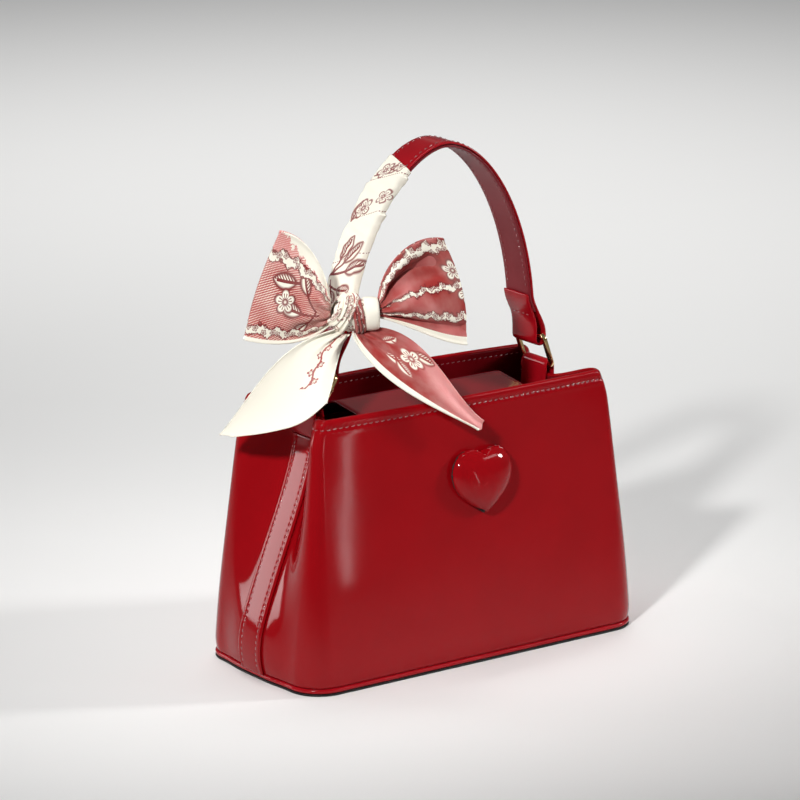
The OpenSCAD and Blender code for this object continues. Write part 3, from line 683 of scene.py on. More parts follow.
class SmallFlowers(Effect):
    """Small flowers strewn over the cloth, one to a cell."""

    name = "Small flowers"
    inputs = {"Place": None, "Cells": 60.0, "Line": 0.1}
    outputs = ("Outline", "Inside")

    @staticmethod
    def wire(w: Wiring, place: Value, cells: Value, line: Value) -> list[Value]:
        """One flower round each cell's middle, turned by the cell's random value."""
        spread = w.scaled(place, cells)
        cell = w.put("TexVoronoi", {"Vector": spread, "Scale": 1.0, "Randomness": 0.5},
                     voronoi_dimensions="2D")
        away = w.value("VectorMath", 0, {0: spread, 1: cell.outputs["Position"]}, operation="SUBTRACT")
        chance = w.value("SeparateColor", 0, {0: cell.outputs["Color"]})
        turned = w.value("VectorRotate", 0, {"Vector": away, "Angle": chance * 6.28},
                         rotation_type="Z_AXIS")
        return FlowerShape.place(w, Place=w.scaled(turned, 2.7), Line=line)


class HatchPrint(Effect):
    """Engraved shading: two crossed sets of fine lines that swell and thin."""

    name = "Hatch print"
    inputs = {"Place": None, "Lines": 700.0, "Tone": 0.5}
    outputs = ("Mask",)

    @staticmethod
    def wire(w: Wiring, place: Value, lines: Value, tone: Value) -> list[Value]:
        """Two sines, cut at a level that follows the tone and a slow noise."""
        x, y = (part * lines for part in w.split(place))
        level = (w.noise(place, 55.0, 2.0) - 0.5) * 2.2 - tone
        first = ((x + y * 0.55) * 6.283).sin() - level
        second = ((x - y * 1.3) * 6.283).sin() - (level + 0.55)
        return [first.between(-0.2, 0.2) | second.between(-0.2, 0.2)]


class VinePrint(Effect):
    """A wandering stem along the cloth, with buds on both sides."""

    name = "Vine print"
    inputs = {"Place": None, "Middle": 0.02, "Size": 1.0}
    outputs = ("Mask",)

    @staticmethod
    def wire(w: Wiring, place: Value, middle: Value, size: Value) -> list[Value]:
        """Distance from a sine stem, and small buds at even steps along it."""
        x, y = w.split(place)
        y = y / size
        side = (x - middle) / size - ((y * 560.0).sin() * 0.0007 + (y * 170.0).sin() * 0.0013)
        stem = abs(side) < w.noise(place, 500.0, 2.0) * 0.0011
        step = y * 210.0
        turn = step.floor().do("MODULO", 2.0) * 2.0 - 1.0
        along = (step.do("FRACT") - 0.5) / 210.0
        bud = side - turn * 0.0013
        far = (bud * bud + along * along).do("SQRT")
        reach = abs((along.do("ARCTAN2", bud) * 2.5).cos()) * 0.0012 + 0.0005
        return [stem | (abs(far - reach) < 0.0005)]


class BandPrint(Effect):
    """One wavy ribbon along the cloth, with a drawn edge and small flowers inside."""

    name = "Band print"
    inputs = {"Place": None, "Middle": 0.01, "Half": 0.002}
    outputs = ("Inside", "Outline")

    @staticmethod
    def wire(w: Wiring, place: Value, middle: Value, half: Value) -> list[Value]:
        """Distance from a wavy middle, roughened by noise."""
        x, y = w.split(place)
        rough = (w.noise(place, 330.0, 3.0, 0.65) - 0.5) * 0.0062
        gap = abs(x - middle - (y * 620.0).sin() * 0.0009) + rough - half
        inside = gap < 0.0
        drawn, _ = SmallFlowers.place(w, Place=place, Cells=230.0, Line=0.3)
        return [inside, (abs(gap) < 0.00045) | drawn * inside]


# Finishes

@dataclass(frozen=True)
class Finish:
    """A surface finish. Each kind says what feeds its shader."""

    name: str

    def material(self) -> bpy.types.Material:
        """Makes the material the first time that it is asked for.

        Returns:
            The material.
        """
        found = bpy.data.materials.get(self.name)
        if found:
            return found
        made = bpy.data.materials.new(self.name)
        made.use_nodes = True
        w = Wiring(made.node_tree)
        shader = w.put("BsdfPrincipled", self.wire(w))
        w.put("OutputMaterial", {"Surface": shader.outputs[0]})
        return made

    def wire(self, w: Wiring) -> dict[str, object]:
        """Makes the nodes before the shader.

        Args:
            w: the material's wiring.

        Returns:
            What goes into the shader's inputs, by name.
        """
        raise NotImplementedError


@dataclass(frozen=True)
class Leather(Finish):
    """Glossy coated leather."""

    colour: Colour = (0.27, 0.0018, 0.0045)
    deep: Colour = (0.235, 0.0014, 0.0036)
    worn: Colour = (0.46, 0.05, 0.06)
    gloss: float = 0.07
    coat: float = 0.05
    shine: float = 0.20
    pebble: float = 0.4
    waves: float = 0.3
    wear: float = 0.35

    def wire(self, w: Wiring) -> dict[str, object]:
        """Clouded colour, worn edges, uneven gloss and a fine grain."""
        place = w.solid_place()
        height, cloud = LeatherGrain.place(w, Place=place, Pebble=self.pebble, Waves=self.waves)
        [edge] = EdgeWear.place(w, Place=place, Amount=self.wear)
        [rub] = FineScratches.place(w, Place=place, Scale=700.0)
        cloud = cloud.between(0.3, 0.75)
        body = w.mix(cloud * 0.6, self.colour, self.deep)
        return {"Base Color": w.mix(edge, body, self.worn),
                "Roughness": cloud * 0.02 + self.gloss + rub * 0.03, "Coat Weight": self.coat,
                "Coat Roughness": 0.07, "Specular IOR Level": self.shine,
                "Normal": w.raised(height, 0.35, 0.0009)}


@dataclass(frozen=True)
class TwoTone(Finish):
    """A finish of two colours, which its kind mixes."""

    colour: Colour = (0.0, 0.0, 0.0)
    light: Colour = (0.0, 0.0, 0.0)


@dataclass(frozen=True)
class Thread(TwoTone):
    """Twisted sewing thread."""

    def wire(self, w: Wiring) -> dict[str, object]:
        """Slanted plies along each stitch."""
        x, y = w.split(w.flat_place())
        ply = (x * 9000.0 + y * 3400.0).sin()
        return {"Base Color": w.mix(ply.between(-0.2, 1.0), self.colour, self.light),
                "Roughness": ply.between(-1.0, 1.0, 0.42, 0.3), "Specular IOR Level": 1.0,
                "Coat Weight": 1.0, "Coat IOR": 2.0, "Coat Roughness": 0.22,
                "Normal": w.raised(ply, 0.5, 0.00012)}


@dataclass(frozen=True)
class Lining(TwoTone):
    """Woven lining."""

    def wire(self, w: Wiring) -> dict[str, object]:
        """Crossed threads and faint unevenness."""
        height, thread = ClothWeave.place(w, Place=w.flat_place(), Threads=2600.0)
        cloud = w.noise(w.solid_place(), 30.0)
        return {"Base Color": w.mix((thread + cloud) * 0.5, self.colour, self.light),
                "Roughness": cloud.between(0.3, 0.7, 0.62, 0.8), "Normal": w.raised(height, 0.4, 0.0002)}


@dataclass(frozen=True)
class Metal(TwoTone):
    """Plated or brushed metal with fine rubbing. Its second colour is its tarnish."""

    gloss: float = 0.14

    def wire(self, w: Wiring) -> dict[str, object]:
        """Metal colour, scratches and slightly dull patches."""
        place = w.solid_place()
        [rub] = FineScratches.place(w, Place=place, Scale=1500.0)
        cloud = w.noise(place, 160.0, 4.0).between(0.4, 0.75)
        return {"Base Color": w.mix(cloud * 0.4, self.colour, self.light), "Metallic": 1.0,
                "Roughness": cloud * 0.08 + self.gloss + rub * 0.16, "Normal": w.raised(rub, 0.08, 0.0001)}


@dataclass(frozen=True)
class Fibre(TwoTone):
    """Pressed board, hidden inside."""

    def wire(self, w: Wiring) -> dict[str, object]:
        """Speckled fibres."""
        fleck = w.noise(w.solid_place(), 900.0, 5.0, 0.7)
        return {"Base Color": w.mix(fleck.between(0.35, 0.65), self.colour, self.light),
                "Roughness": fleck.between(0.3, 0.7, 0.8, 0.95), "Normal": w.raised(fleck, 0.5, 0.0002)}


@dataclass(frozen=True)
class Paper(TwoTone):
    """The studio's floor."""

    def wire(self, w: Wiring) -> dict[str, object]:
        """Faint clouds over a dull surface."""
        fleck = w.noise(w.solid_place(), 6.0)
        return {"Base Color": w.mix(fleck, self.colour, self.light),
                "Roughness": fleck.between(0.3, 0.7, 0.85, 0.95)}


class Motif(Enum):
    """What is printed on a stretch of the scarf; one ground also paints a satin sheen."""

    SPRIGS = "sprigs on a pale ground, over a dotted row"
    FLOWERS = "small flowers on a pale ground"
    HATCH = "engraved shading"
    DARK = "dark ground"
    # Dark ground that fades to rose: partly a printed fade, partly a painted satin sheen.
    FADING_SHEEN = "dark ground that fades to rose"
    VINE = "one vine on a pale ground"
    PLAIN = "pale ground"


CREAM: Colour = (0.90, 0.855, 0.73)
INK: Colour = (0.21, 0.018, 0.018)
LIGHT_INK: Colour = (0.36, 0.05, 0.045)
WINE: Colour = (0.33, 0.030, 0.026)
ROSE: Colour = (0.74, 0.27, 0.26)
NO_BORDER = -1.0


@dataclass(frozen=True)
class Silk(Finish):
    """Printed silk twill. Widths are in metres on the flat cloth."""

    motif: Motif = Motif.PLAIN
    width: float = 0.05
    border_low: float = 0.003
    border_high: float = 0.003
    ragged: float = 0.0
    bands: tuple[tuple[float, float], ...] = ()
    leaves: tuple[Stamp, ...] = ()
    flowers: tuple[Stamp, ...] = ()
    line: Colour = INK

    def wire(self, w: Wiring) -> dict[str, object]:
        """Print, borders, satin gloss and the diagonal ribs of the twill."""
        place = w.flat_place()
        x, y = w.split(place)
        shade = w.noise(place, 90.0).between(0.3, 0.7)
        colour = self.stamped(w, place, self.ground(w, place, x, y))
        loose = (w.noise(place, 260.0, 3.0, 0.7) - 0.5) * self.ragged
        inner = x + loose + y.between(0.025, 0.06, 0.0, -0.8 * self.ragged)
        hem = (x < self.border_low) | (inner > self.width - self.border_high)
        colour = w.mix(shade * 0.10, w.mix(hem, colour, CREAM), (0.95, 0.88, 0.78))
        rib = ((x + y * 0.8) * 11000.0).sin()
        height = rib * 0.3 + w.noise(place, 1200.0, 3.0, 0.6)
        return {"Base Color": colour, "Roughness": shade.between(0.0, 1.0, 0.40, 0.5),
                "Specular IOR Level": 0.25, "Sheen Weight": 0.10, "Sheen Roughness": 0.35,
                "Normal": w.raised(height, 0.25, 0.0001)}

    def stamped(self, w: Wiring, place: Value, colour: Value) -> Value:
        """Prints ribbons, leaves and flowers over the ground.

        Args:
            w: the material's wiring.
            place: the flat place.
            colour: the ground's colour.

        Returns:
            The colour with all of them.
        """
        for stamps, shape, line in ((self.leaves, LeafShape, 0.12), (self.flowers, FlowerShape, 0.19)):
            for stamp in stamps:
                turn = (0.0, 0.0, math.radians(stamp.degrees))
                own = w.value("Mapping", 0, {"Vector": place, "Location": (*stamp.at, 0.0),
                                             "Rotation": turn, "Scale": (stamp.size,) * 3},
                              vector_type="TEXTURE")
                outline, inside = shape.place(w, Place=own, Line=line)
                colour = w.mix(outline, w.mix(inside, colour, CREAM), self.line)
        for middle, half in self.bands:
            inside, outline = BandPrint.place(w, Place=place, Middle=middle, Half=half)
            colour = w.mix(outline, w.mix(inside, colour, CREAM), self.line)
        return colour

    def ground(self, w: Wiring, place: Value, x: Value, y: Value) -> Value:
        """Prints the ground.

        Args:
            w: the material's wiring.
            place: the flat place.
            x: its distance across the cloth.
            y: its distance along the cloth.

        Returns:
            The ground's colour.
        """
        tone = w.noise(place, 34.0, 2.0).between(0.42, 0.66)
        match self.motif:
            case Motif.HATCH:
                pale = x.between(0.030, 0.044)
                [hatch] = HatchPrint.place(w, Place=place, Lines=820.0, Tone=0.30)
                ink = w.mix(pale, w.mix(tone, (0.42, 0.045, 0.04), (0.56, 0.10, 0.09)), (0.66, 0.22, 0.20))
                return w.mix(hatch, w.mix(pale, CREAM, (0.88, 0.64, 0.58)), ink)
            case Motif.DARK:
                return w.mix(tone * 0.45, WINE, ROSE)
            case Motif.FADING_SHEEN:
                # Wine fading to rose across the cloth: partly printed, partly a painted satin sheen.
                return w.mix((y + x * 1.1).between(0.055, 0.105), WINE, ROSE)
            case Motif.VINE:
                [vine] = VinePrint.place(w, Place=place, Middle=0.021, Size=1.35)
                return w.mix(vine * (y < 0.047), CREAM, self.line)
            case Motif.SPRIGS:
                dots = ((y * 4600.0).sin() > 0.0) * (abs(x - 0.0245) < 0.0003)
                return w.mix(dots, CREAM, self.line)
            case Motif.FLOWERS:
                outline, _ = SmallFlowers.place(w, Place=place, Cells=105.0, Line=0.24)
                return w.mix(outline, CREAM, self.line)
        return w.mix(tone * 0.1, CREAM, ROSE)


RED_LEATHER = Leather("Red leather")
# Darker copy of the red leather for the facings and the inner flap: painted shade of the bag's inside.
SHADED_INSIDE_LEATHER = Leather("Shaded facing leather", (0.17, 0.003, 0.007), (0.12, 0.002, 0.005), gloss=0.16)
STRAP_LEATHER = Leather("Strap leather", (0.34, 0.004, 0.009), (0.24, 0.002, 0.006), gloss=0.13)
INNER_LEATHER = Leather("Inner strap leather", (0.20, 0.014, 0.020), (0.15, 0.009, 0.013),
                        gloss=0.42, coat=0.0)
BLACK_LEATHER = Leather("Base leather", (0.014, 0.012, 0.012), (0.008, 0.007, 0.007), (0.05, 0.045, 0.045),
                        gloss=0.5, coat=0.0, pebble=3.0)
EDGE_PAINT = Leather("Edge paint", (0.36, 0.006, 0.014), (0.28, 0.004, 0.010),
                     gloss=0.2, pebble=0.3, wear=0.1)
RED_THREAD = Thread("Red thread", (0.17, 0.003, 0.007), (0.34, 0.012, 0.02))
BLACK_LINING = Lining("Black lining", (0.012, 0.011, 0.012), (0.035, 0.032, 0.034))
GOLD = Metal("Gold plating", (0.86, 0.62, 0.30), (0.62, 0.40, 0.17))
STEEL = Metal("Steel", (0.55, 0.56, 0.58), (0.36, 0.36, 0.37), gloss=0.3)
BOARD = Fibre("Stiff board", (0.20, 0.16, 0.12), (0.36, 0.30, 0.23))
# Near-black board for the heart's plate, whose edge shows under the heart: a painted shadow line.
SHADOW_LINE_BOARD = Fibre("Black board shadow line", (0.010, 0.006, 0.006), (0.024, 0.012, 0.012))
FLOOR_PAPER = Paper("Studio paper", (0.84, 0.835, 0.82), (0.8232, 0.8183, 0.8036))


def dress(obj: Object, *finishes: Finish) -> None:
    """Gives an object its finishes.

    Args:
        obj: the piece.
        finishes: one finish for each material slot.
    """
    obj.data.materials.clear()
    for finish in finishes:
        obj.data.materials.append(finish.material())


def settle(obj: Object, body: str, slot: str, nodes: tuple[str, ...], *finishes: Finish) -> None:
    """Ties a piece to its body and the nodes that it stands for, and dresses it.

    Args:
        obj: the piece.
        body: the body that it moves with.
        slot: the record's material slot. Not used.
        nodes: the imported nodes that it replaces.
        finishes: one finish for each material slot of the mesh.
    """
    dress(obj, *finishes)
    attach(obj, body)
    if nodes:
        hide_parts(*nodes)
    LOG.info("%s rides on %s, %d faces", obj.name, body, len(obj.data.polygons))


# The bag's body

@dataclass
class BagForm:
    """The outline and walls of the bag, by the same rules as the part's source."""

    base_w: float = 242.0
    base_d: float = 113.0
    top_w: float = 208.0
    top_d: float = 79.0
    rim_h: float = 159.0
    rim_gather: float = 4.0
    rim_dip: float = 7.0
    corner_drop: float = 1.2
    base_r: float = 20.0
    rim_r: float = 4.6
    fold_x: float = 84.8
    fold_start: float = 15.0
    side_swell: float = 2.8
    corner_swell: float = 1.0
    hem_tuck: float = 1.0
    front_bow: float = 6.0
    back_bow: float = 2.0
    strip_w: float = 20.5
    gap: float = 0.2
    panel_z: float = 4.4
    leather_t: float = 1.6
    facing_t: float = 1.2
    facing_foot: float = 125.0
    side_steps: int = 34
    corner_steps: int = 20
    face_steps: int = 120

    @property
    def wall_t(self) -> float:
        """Thickness of the wall at the rim."""
        return self.leather_t + 1.5 * self.gap + self.facing_t

    def tuck(self, z: float) -> float:
        """How far the hem is tucked in at height z."""
        return self.hem_tuck * float(1 - clamp01((z - self.panel_z) / (0.06 * self.rim_h))) ** 2

    def half_w(self, z: float) -> float:
        """Half width of the bag.

        Args:
            z: height.

        Returns:
            The half width there.
        """
        gather = float(clamp01(1 - (self.rim_h - z) / (0.12 * self.rim_h))) ** 2
        return (lerp(self.base_w, self.top_w, z / self.rim_h) / 2 - self.tuck(z)
                + self.corner_swell * math.exp(-(z / self.rim_h / 0.25 - 1) ** 2) - self.rim_gather * gather)

    def half_d(self, z: float) -> float:
        """Half depth at height z."""
        return lerp(self.base_d, self.top_d, z / self.rim_h) / 2 - self.tuck(z)

    def side_x(self, z: float) -> float:
        """Distance of the side's middle from the centre.

        Args:
            z: height.

        Returns:
            The distance there.
        """
        fold = float(smooth((z - self.fold_start) / (0.92 * self.rim_h - self.fold_start)))
        swell = math.exp(-((z - 0.125 * self.rim_h) / (0.14 * self.rim_h)) ** 2)
        return lerp(self.base_w / 2, self.fold_x, fold) + self.side_swell * swell - self.tuck(z)

    def corner_r(self, z: float) -> float:
        """Radius of the upright corners at height z."""
        return lerp(self.rim_r, self.base_r, float(clamp01(1 - z / self.rim_h)) ** 1.6)

    def bow_at(self, bow: float, z: float) -> float:
        """How far a face bows out at height z."""
        return bow * float(clamp01(z / self.rim_h)) ** 1.5

    def dip_at(self, drop: float | Array, z: float) -> float | Array:
        """How far a rim's drop shows at height z."""
        return drop * float(smooth((z / self.rim_h - 0.7) / 0.3))

    def half_outline(self, z: float, bow: float) -> Array:
        """Left half of the front outline: side, corner and face.

        Args:
            z: height before the rim's drop.
            bow: bow of the face at the rim.

        Returns:
            X, Y and the rim's drop at each point.
        """
        hw, hd, r, b = self.half_w(z), self.half_d(z), self.corner_r(z), self.bow_at(bow, z)
        reach, floor = hd - r, self.strip_w / 2 + self.gap
        y = np.concatenate([[self.gap], np.linspace(floor, reach, self.side_steps)])
        weight = 0.5 * (1 + np.cos(math.pi * clamp01((y - floor) / (reach - floor))))
        drop = lerp(self.corner_drop, self.rim_dip, weight)
        side = np.stack([-lerp(hw, self.side_x(z), weight), -y, drop], 1)
        a = np.radians(90 * np.arange(1, self.corner_steps + 1) / self.corner_steps)
        corner = np.stack([-(hw - r) - r * np.cos(a), -(hd - r) - r * np.sin(a),
                           np.full(len(a), self.corner_drop)], 1)
        share = 1 - np.arange(1, self.face_steps + 1) / self.face_steps
        face = np.stack([-(hw - r) * share, -hd - b * (1 - share ** 2), self.corner_drop * share ** 2], 1)
        return np.concatenate([side, corner, face])

    def row(self, z: float, inset: float, bow: float) -> tuple[Array, Array]:
        """Points and outward directions of the front outline, from the left seam to the right one.

        Args:
            z: height before the rim's drop.
            inset: distance inwards from the outer face.
            bow: bow of this face at the rim.

        Returns:
            The points and the directions.
        """
        half = self.half_outline(z, bow)
        line = np.concatenate([half, half[-2::-1] * FLIP_X])
        d = headings(line[:, :2])
        out = np.stack([d[:, 1], -d[:, 0], np.zeros(len(d))], 1)
        points = np.stack([line[:, 0], line[:, 1], z - self.dip_at(line[:, 2], z)], 1) - out * inset
        return points, out

    def ring(self, inset: float) -> tuple[Array, Array]:
        """Points and outward directions of the whole outline at the panels' foot."""
        points, out = self.row(self.panel_z, inset, 0.0)
        return np.concatenate([points, points[::-1] * FLIP_Y]), np.concatenate([out, out[::-1] * FLIP_Y])


@dataclass
class Walls:
    """Front and back: leather panels with a turned rim, facings, lining and rows of stitches."""

    form: BagForm
    stitch_drop: float = 5.5
    stitch_inset: float = 11.8
    stitch_pitch: float = 3.9
    pucker: float = 0.42
    sewn_furrow: float = 0.34
    rim_bead: float = 0.24
    low_bead: float = 0.10
    edge_play: float = 0.1
    softness: float = 0.04
    wander: float = 88.0
    lining_softness: float = 0.25
    lining_in: float = 3.7
    lining_t: float = 0.5
    lining_foot: float = 3.9
    lining_flat: tuple[float, float] = (0.33, 0.121)

    def row(self, z: float, inset: float, back: bool) -> tuple[Array, Array]:
        """The outline of the front, or the same for the back, which wall turns round."""
        return self.form.row(z, inset, self.form.back_bow if back else self.form.front_bow)

    def wall(self, name: str, profile: list[tuple[float, float]], back: bool, soft: float) -> Object:
        """A wall of one cross section, taken round the outline.

        Args:
            name: the piece's name.
            profile: inset and height of each corner of the cross section.
            back: makes the back instead of the front.
            soft: how far the leather wanders from its rule.

        Returns:
            The object.
        """
        f = self.form
        rows = []
        for inset, z in profile:
            points, out = self.row(z, inset, back)
            calm = float(smooth((z - 10) / 25) * smooth((f.rim_h - 6 - z) / 25))
            seam = smooth((np.abs(points[:, 1]) - f.strip_w / 2) / 6)
            move = soft * calm * seam * ripple(points, self.wander, 2.1 if back else 0.6)
            near = float(bump(z, f.rim_h - self.stitch_drop, 1.5))
            if near > 0.05:
                between = np.abs(np.sin(math.pi * path_length(points) / self.stitch_pitch)) ** 0.7
                way = 1.0 if inset < f.wall_t / 2 else -1.0
                sewn = np.abs(points[:, 1]) > self.stitch_inset
                move = move + way * self.pucker * near * (0.75 - between) * sewn
            rows.append(points + out * move[:, None])
        g = np.stack(rows, 1)
        if back:
            g = g * FLIP_Y
        up = np.array([z for _, z in profile])
        uv = np.stack(np.broadcast_arrays(path_length(g[:, 0])[:, None], up[None, :]), -1)
        return swept(name, g, uv)

    def panel_profile(self) -> list[tuple[float, float]]:
        """Outer face, turned rim and inner face of a panel.

        Returns:
            Inset and height of each corner.
        """
        f = self.form
        r = f.wall_t / 2
        top = f.rim_h - r
        heights = np.concatenate([f.panel_z + np.array([0.7, 1.6, 3.0, 5.0, 7.5]),
                                  np.linspace(f.panel_z + 11, f.rim_h - 14, 46),
                                  np.linspace(f.rim_h - 11, top - 0.1, 22)])
        stitch = f.rim_h - self.stitch_drop
        relief = (self.sewn_furrow * bump(heights, stitch, 0.85)
                  - self.rim_bead * bump(heights, f.rim_h - 2.6, 1.5)
                  - self.low_bead * bump(heights, stitch - 2.4, 1.6))
        outer = list(zip(relief.tolist(), heights.tolist()))
        turn = [(r - (r + self.edge_play) * math.cos(a), top + r * math.sin(a))
                for a in np.radians(np.linspace(8, 172, 10))]
        inner = [(f.wall_t + 0.05, top - 0.1), (f.leather_t + 0.25, top - 0.2), (f.leather_t, top - 0.7)]
        down = [(f.leather_t, float(z)) for z in np.linspace(top - 6, f.panel_z + 0.4, 14)]
        return [(0.45, f.panel_z), (0.1, f.panel_z + 0.2), *outer, *turn, *inner, *down, (1.25, f.panel_z)]

    def facing_profile(self) -> list[tuple[float, float]]:
        """Inner leather from its lower edge up to the turned rim.

        Returns:
            Inset and height of each corner.
        """
        f = self.form
        a, b = f.wall_t - f.facing_t, f.wall_t
        low, top = f.facing_foot, f.rim_h - b / 2 - 0.25
        stitch = f.rim_h - self.stitch_drop
        inner = [(b - 0.28 * float(bump(z, stitch, 0.85)), float(z))
                 for z in np.concatenate([np.linspace(low + 0.5, stitch - 3, 14),
                                          np.linspace(stitch - 2, top, 12)])]
        return [(a, top), (a, low + 0.3), (a + 0.3, low), (b - 0.3, low), *inner]

    def lining_profile(self) -> list[tuple[float, float]]:
        """Cloth from the floor up to the facing."""
        zs = np.linspace(self.lining_foot, self.form.facing_foot - 0.2, 30).tolist()
        return [(self.lining_in, z) for z in zs[::-1]] + [(self.lining_in + self.lining_t, z) for z in zs]

    def rim_path(self, back: bool, inside: bool) -> tuple[Array, Array]:
        """Lays out a row of stitches under the rim.

        Args:
            back: takes the back instead of the front.
            inside: takes the facing's side instead of the panel's.

        Returns:
            The path and the outward directions.
        """
        f = self.form
        points, out = self.row(f.rim_h - self.stitch_drop, f.wall_t - 0.2 if inside else 0.22, back)
        keep = np.abs(points[:, 1]) > self.stitch_inset
        flip = FLIP_Y if back else 1.0
        return points[keep] * flip, out[keep] * (-1 if inside else 1) * flip

    def build(self) -> None:
        """Makes both walls."""
        for back, side in ((False, "front"), (True, "back")):
            panel = self.wall(f"{side}_panel_leather", self.panel_profile(), back, self.softness)
            settle(panel, "bag", "red_leather", (f"{side}_panel",), RED_LEATHER)
            facing = self.wall(f"{side}_facing_leather", self.facing_profile(), back, 0.0)
            # The facing wears the darker copy of the red leather, as painted shade.
            settle(facing, "bag", "red_leather", (f"{side}_facing",), SHADED_INSIDE_LEATHER)
            lining = self.wall(f"{side}_lining_cloth", self.lining_profile(), back, self.lining_softness)
            settle(lining, "bag", "lining", (f"lining_{side}",), BLACK_LINING)
            for inside, face in ((False, "outer"), (True, "inner")):
                StitchRow().sew(f"{side}_rim_stitches_{face}", "bag", *self.rim_path(back, inside))


@dataclass
class Base:
    """Base leather, the piping round it and the lining on its floor."""

    form: BagForm
    base_t: float = 1.2
    board_t: float = 1.6
    piping_dia: float = 2.8
    piping_out: float = 1.0
    piping_around: int = 16
    lining_t: float = 0.5
    lining_flat: tuple[float, float] = (0.231, 0.102)

    def plate(self, name: str, inset: float, low: float, high: float, edge: float) -> Object:
        """A flat plate of the outline's form with softened edges.

        Args:
            name: the piece's name.
            inset: distance inwards from the outline.
            low: height of its underside.
            high: height of its upper side.
            edge: size of the softened edge.

        Returns:
            The object.
        """
        rows = []
        for extra, z in ((edge, low), (0.0, low + edge), (0.0, high - edge), (edge, high)):
            points, _ = self.form.ring(inset + extra)
            points[:, 2] = z
            rows.append(points)
        g = np.stack(rows)
        return swept(name, g, g[..., :2])

    def piping(self) -> Object:
        """A covered cord round the base, slightly puckered by its seam.

        Returns:
            The object.
        """
        points, out = self.form.ring(self.piping_dia / 2 - self.piping_out)
        points[:, 2] = self.base_t + self.form.gap + self.piping_dia / 2
        s = path_length(points)
        angle = TAU * np.arange(self.piping_around) / self.piping_around
        fat = self.piping_dia / 2 * (1 + 0.02 * np.sin(s * TAU / 5.3) * np.sin(s / 17))
        up = np.array([0.0, 0.0, 1.0])
        ring = out[:, None] * np.cos(angle)[None, :, None] + up * np.sin(angle)[None, :, None]
        uv = np.stack(np.broadcast_arrays(s[:, None], (angle * self.piping_dia / 2)[None, :]), -1)
        return swept("base_piping_cord", points[:, None] + ring * fat[:, None, None], uv, around=True)

    def build(self) -> None:
        """Makes the base."""
        f = self.form
        plate = self.plate("base_leather", f.gap - self.piping_out, 0.0, self.base_t, 0.3)
        settle(plate, "bag", "black_leather", ("base_panel",), BLACK_LEATHER)
        settle(self.piping(), "bag", "red_leather", ("base_piping",), STRAP_LEATHER)
        low = self.base_t + self.board_t + 2 * f.gap
        inset = f.leather_t + self.piping_dia + f.gap
        floor = self.plate("floor_lining_cloth", inset, low, low + self.lining_t, 0.1)
        settle(floor, "bag", "lining", ("lining_base",), BLACK_LINING)


@dataclass
class SideStrip:
    """Leather strip that covers a side seam, with folded edges and two rows of stitches."""

    form: BagForm
    right: bool
    thickness: float = 1.5
    top: float = 143.0
    rows: int = 260
    stitch_in: float = 3.0
    pitch: float = 3.5
    pucker: float = 0.22
    edge_bead: float = 0.30
    seam_furrow: float = 0.20
    crown: float = 0.28

    def grid(self, extra: float = 0.0, across: Array | None = None) -> Array:
        """Points of the strip's middle.

        Args:
            extra: distance by which they are moved outwards.
            across: places across the strip, if not all of it.

        Returns:
            Grid of points.
        """
        f = self.form
        half = f.strip_w / 2
        y = np.linspace(-half, half, 25) if across is None else across
        zs = np.linspace(f.panel_z, self.top, self.rows)
        share = np.abs(y) / half
        seam = 1 - self.stitch_in / half
        relief = (self.edge_bead * bump(share, 0.90, 0.07) - self.seam_furrow * bump(share, seam, 0.05)
                  + self.crown * (1 - share ** 2))
        g = np.empty((len(zs), len(y), 3))
        for j, z in enumerate(zs):
            sewn = 0.75 - abs(math.sin(math.pi * z / self.pitch)) ** 0.7
            line = bump(share, seam, 0.12) * self.pucker * sewn
            x = f.side_x(z) + f.gap + self.thickness / 2 + relief + line + extra
            g[j] = np.stack([x, y, np.full(len(y), z - float(f.dip_at(f.rim_dip, z)))], 1)
        return g if self.right else g * FLIP_X

    def build(self) -> None:
        """Makes the strip and its stitches."""
        side = "right" if self.right else "left"
        g = self.grid()
        strip = slab(f"side_strip_{side}_leather", g, self.thickness, flat_places(g))
        settle(strip, "bag", "red_leather", (f"side_strip_{side}",), RED_LEATHER, EDGE_PAINT)
        normal = unit(np.tile([1.0 if self.right else -1.0, 0.0, 0.12], (self.rows, 1)))
        row = StitchRow(self.pitch, slant=0.0)
        for s, edge in ((-1, "front"), (1, "back")):
            y = np.array([s * (self.form.strip_w / 2 - self.stitch_in)])
            path = self.grid(self.thickness / 2 - 0.12, y)[:, 0]
            row.sew(f"side_strip_{side}_stitches_{edge}", "bag", path, normal, 3.0)


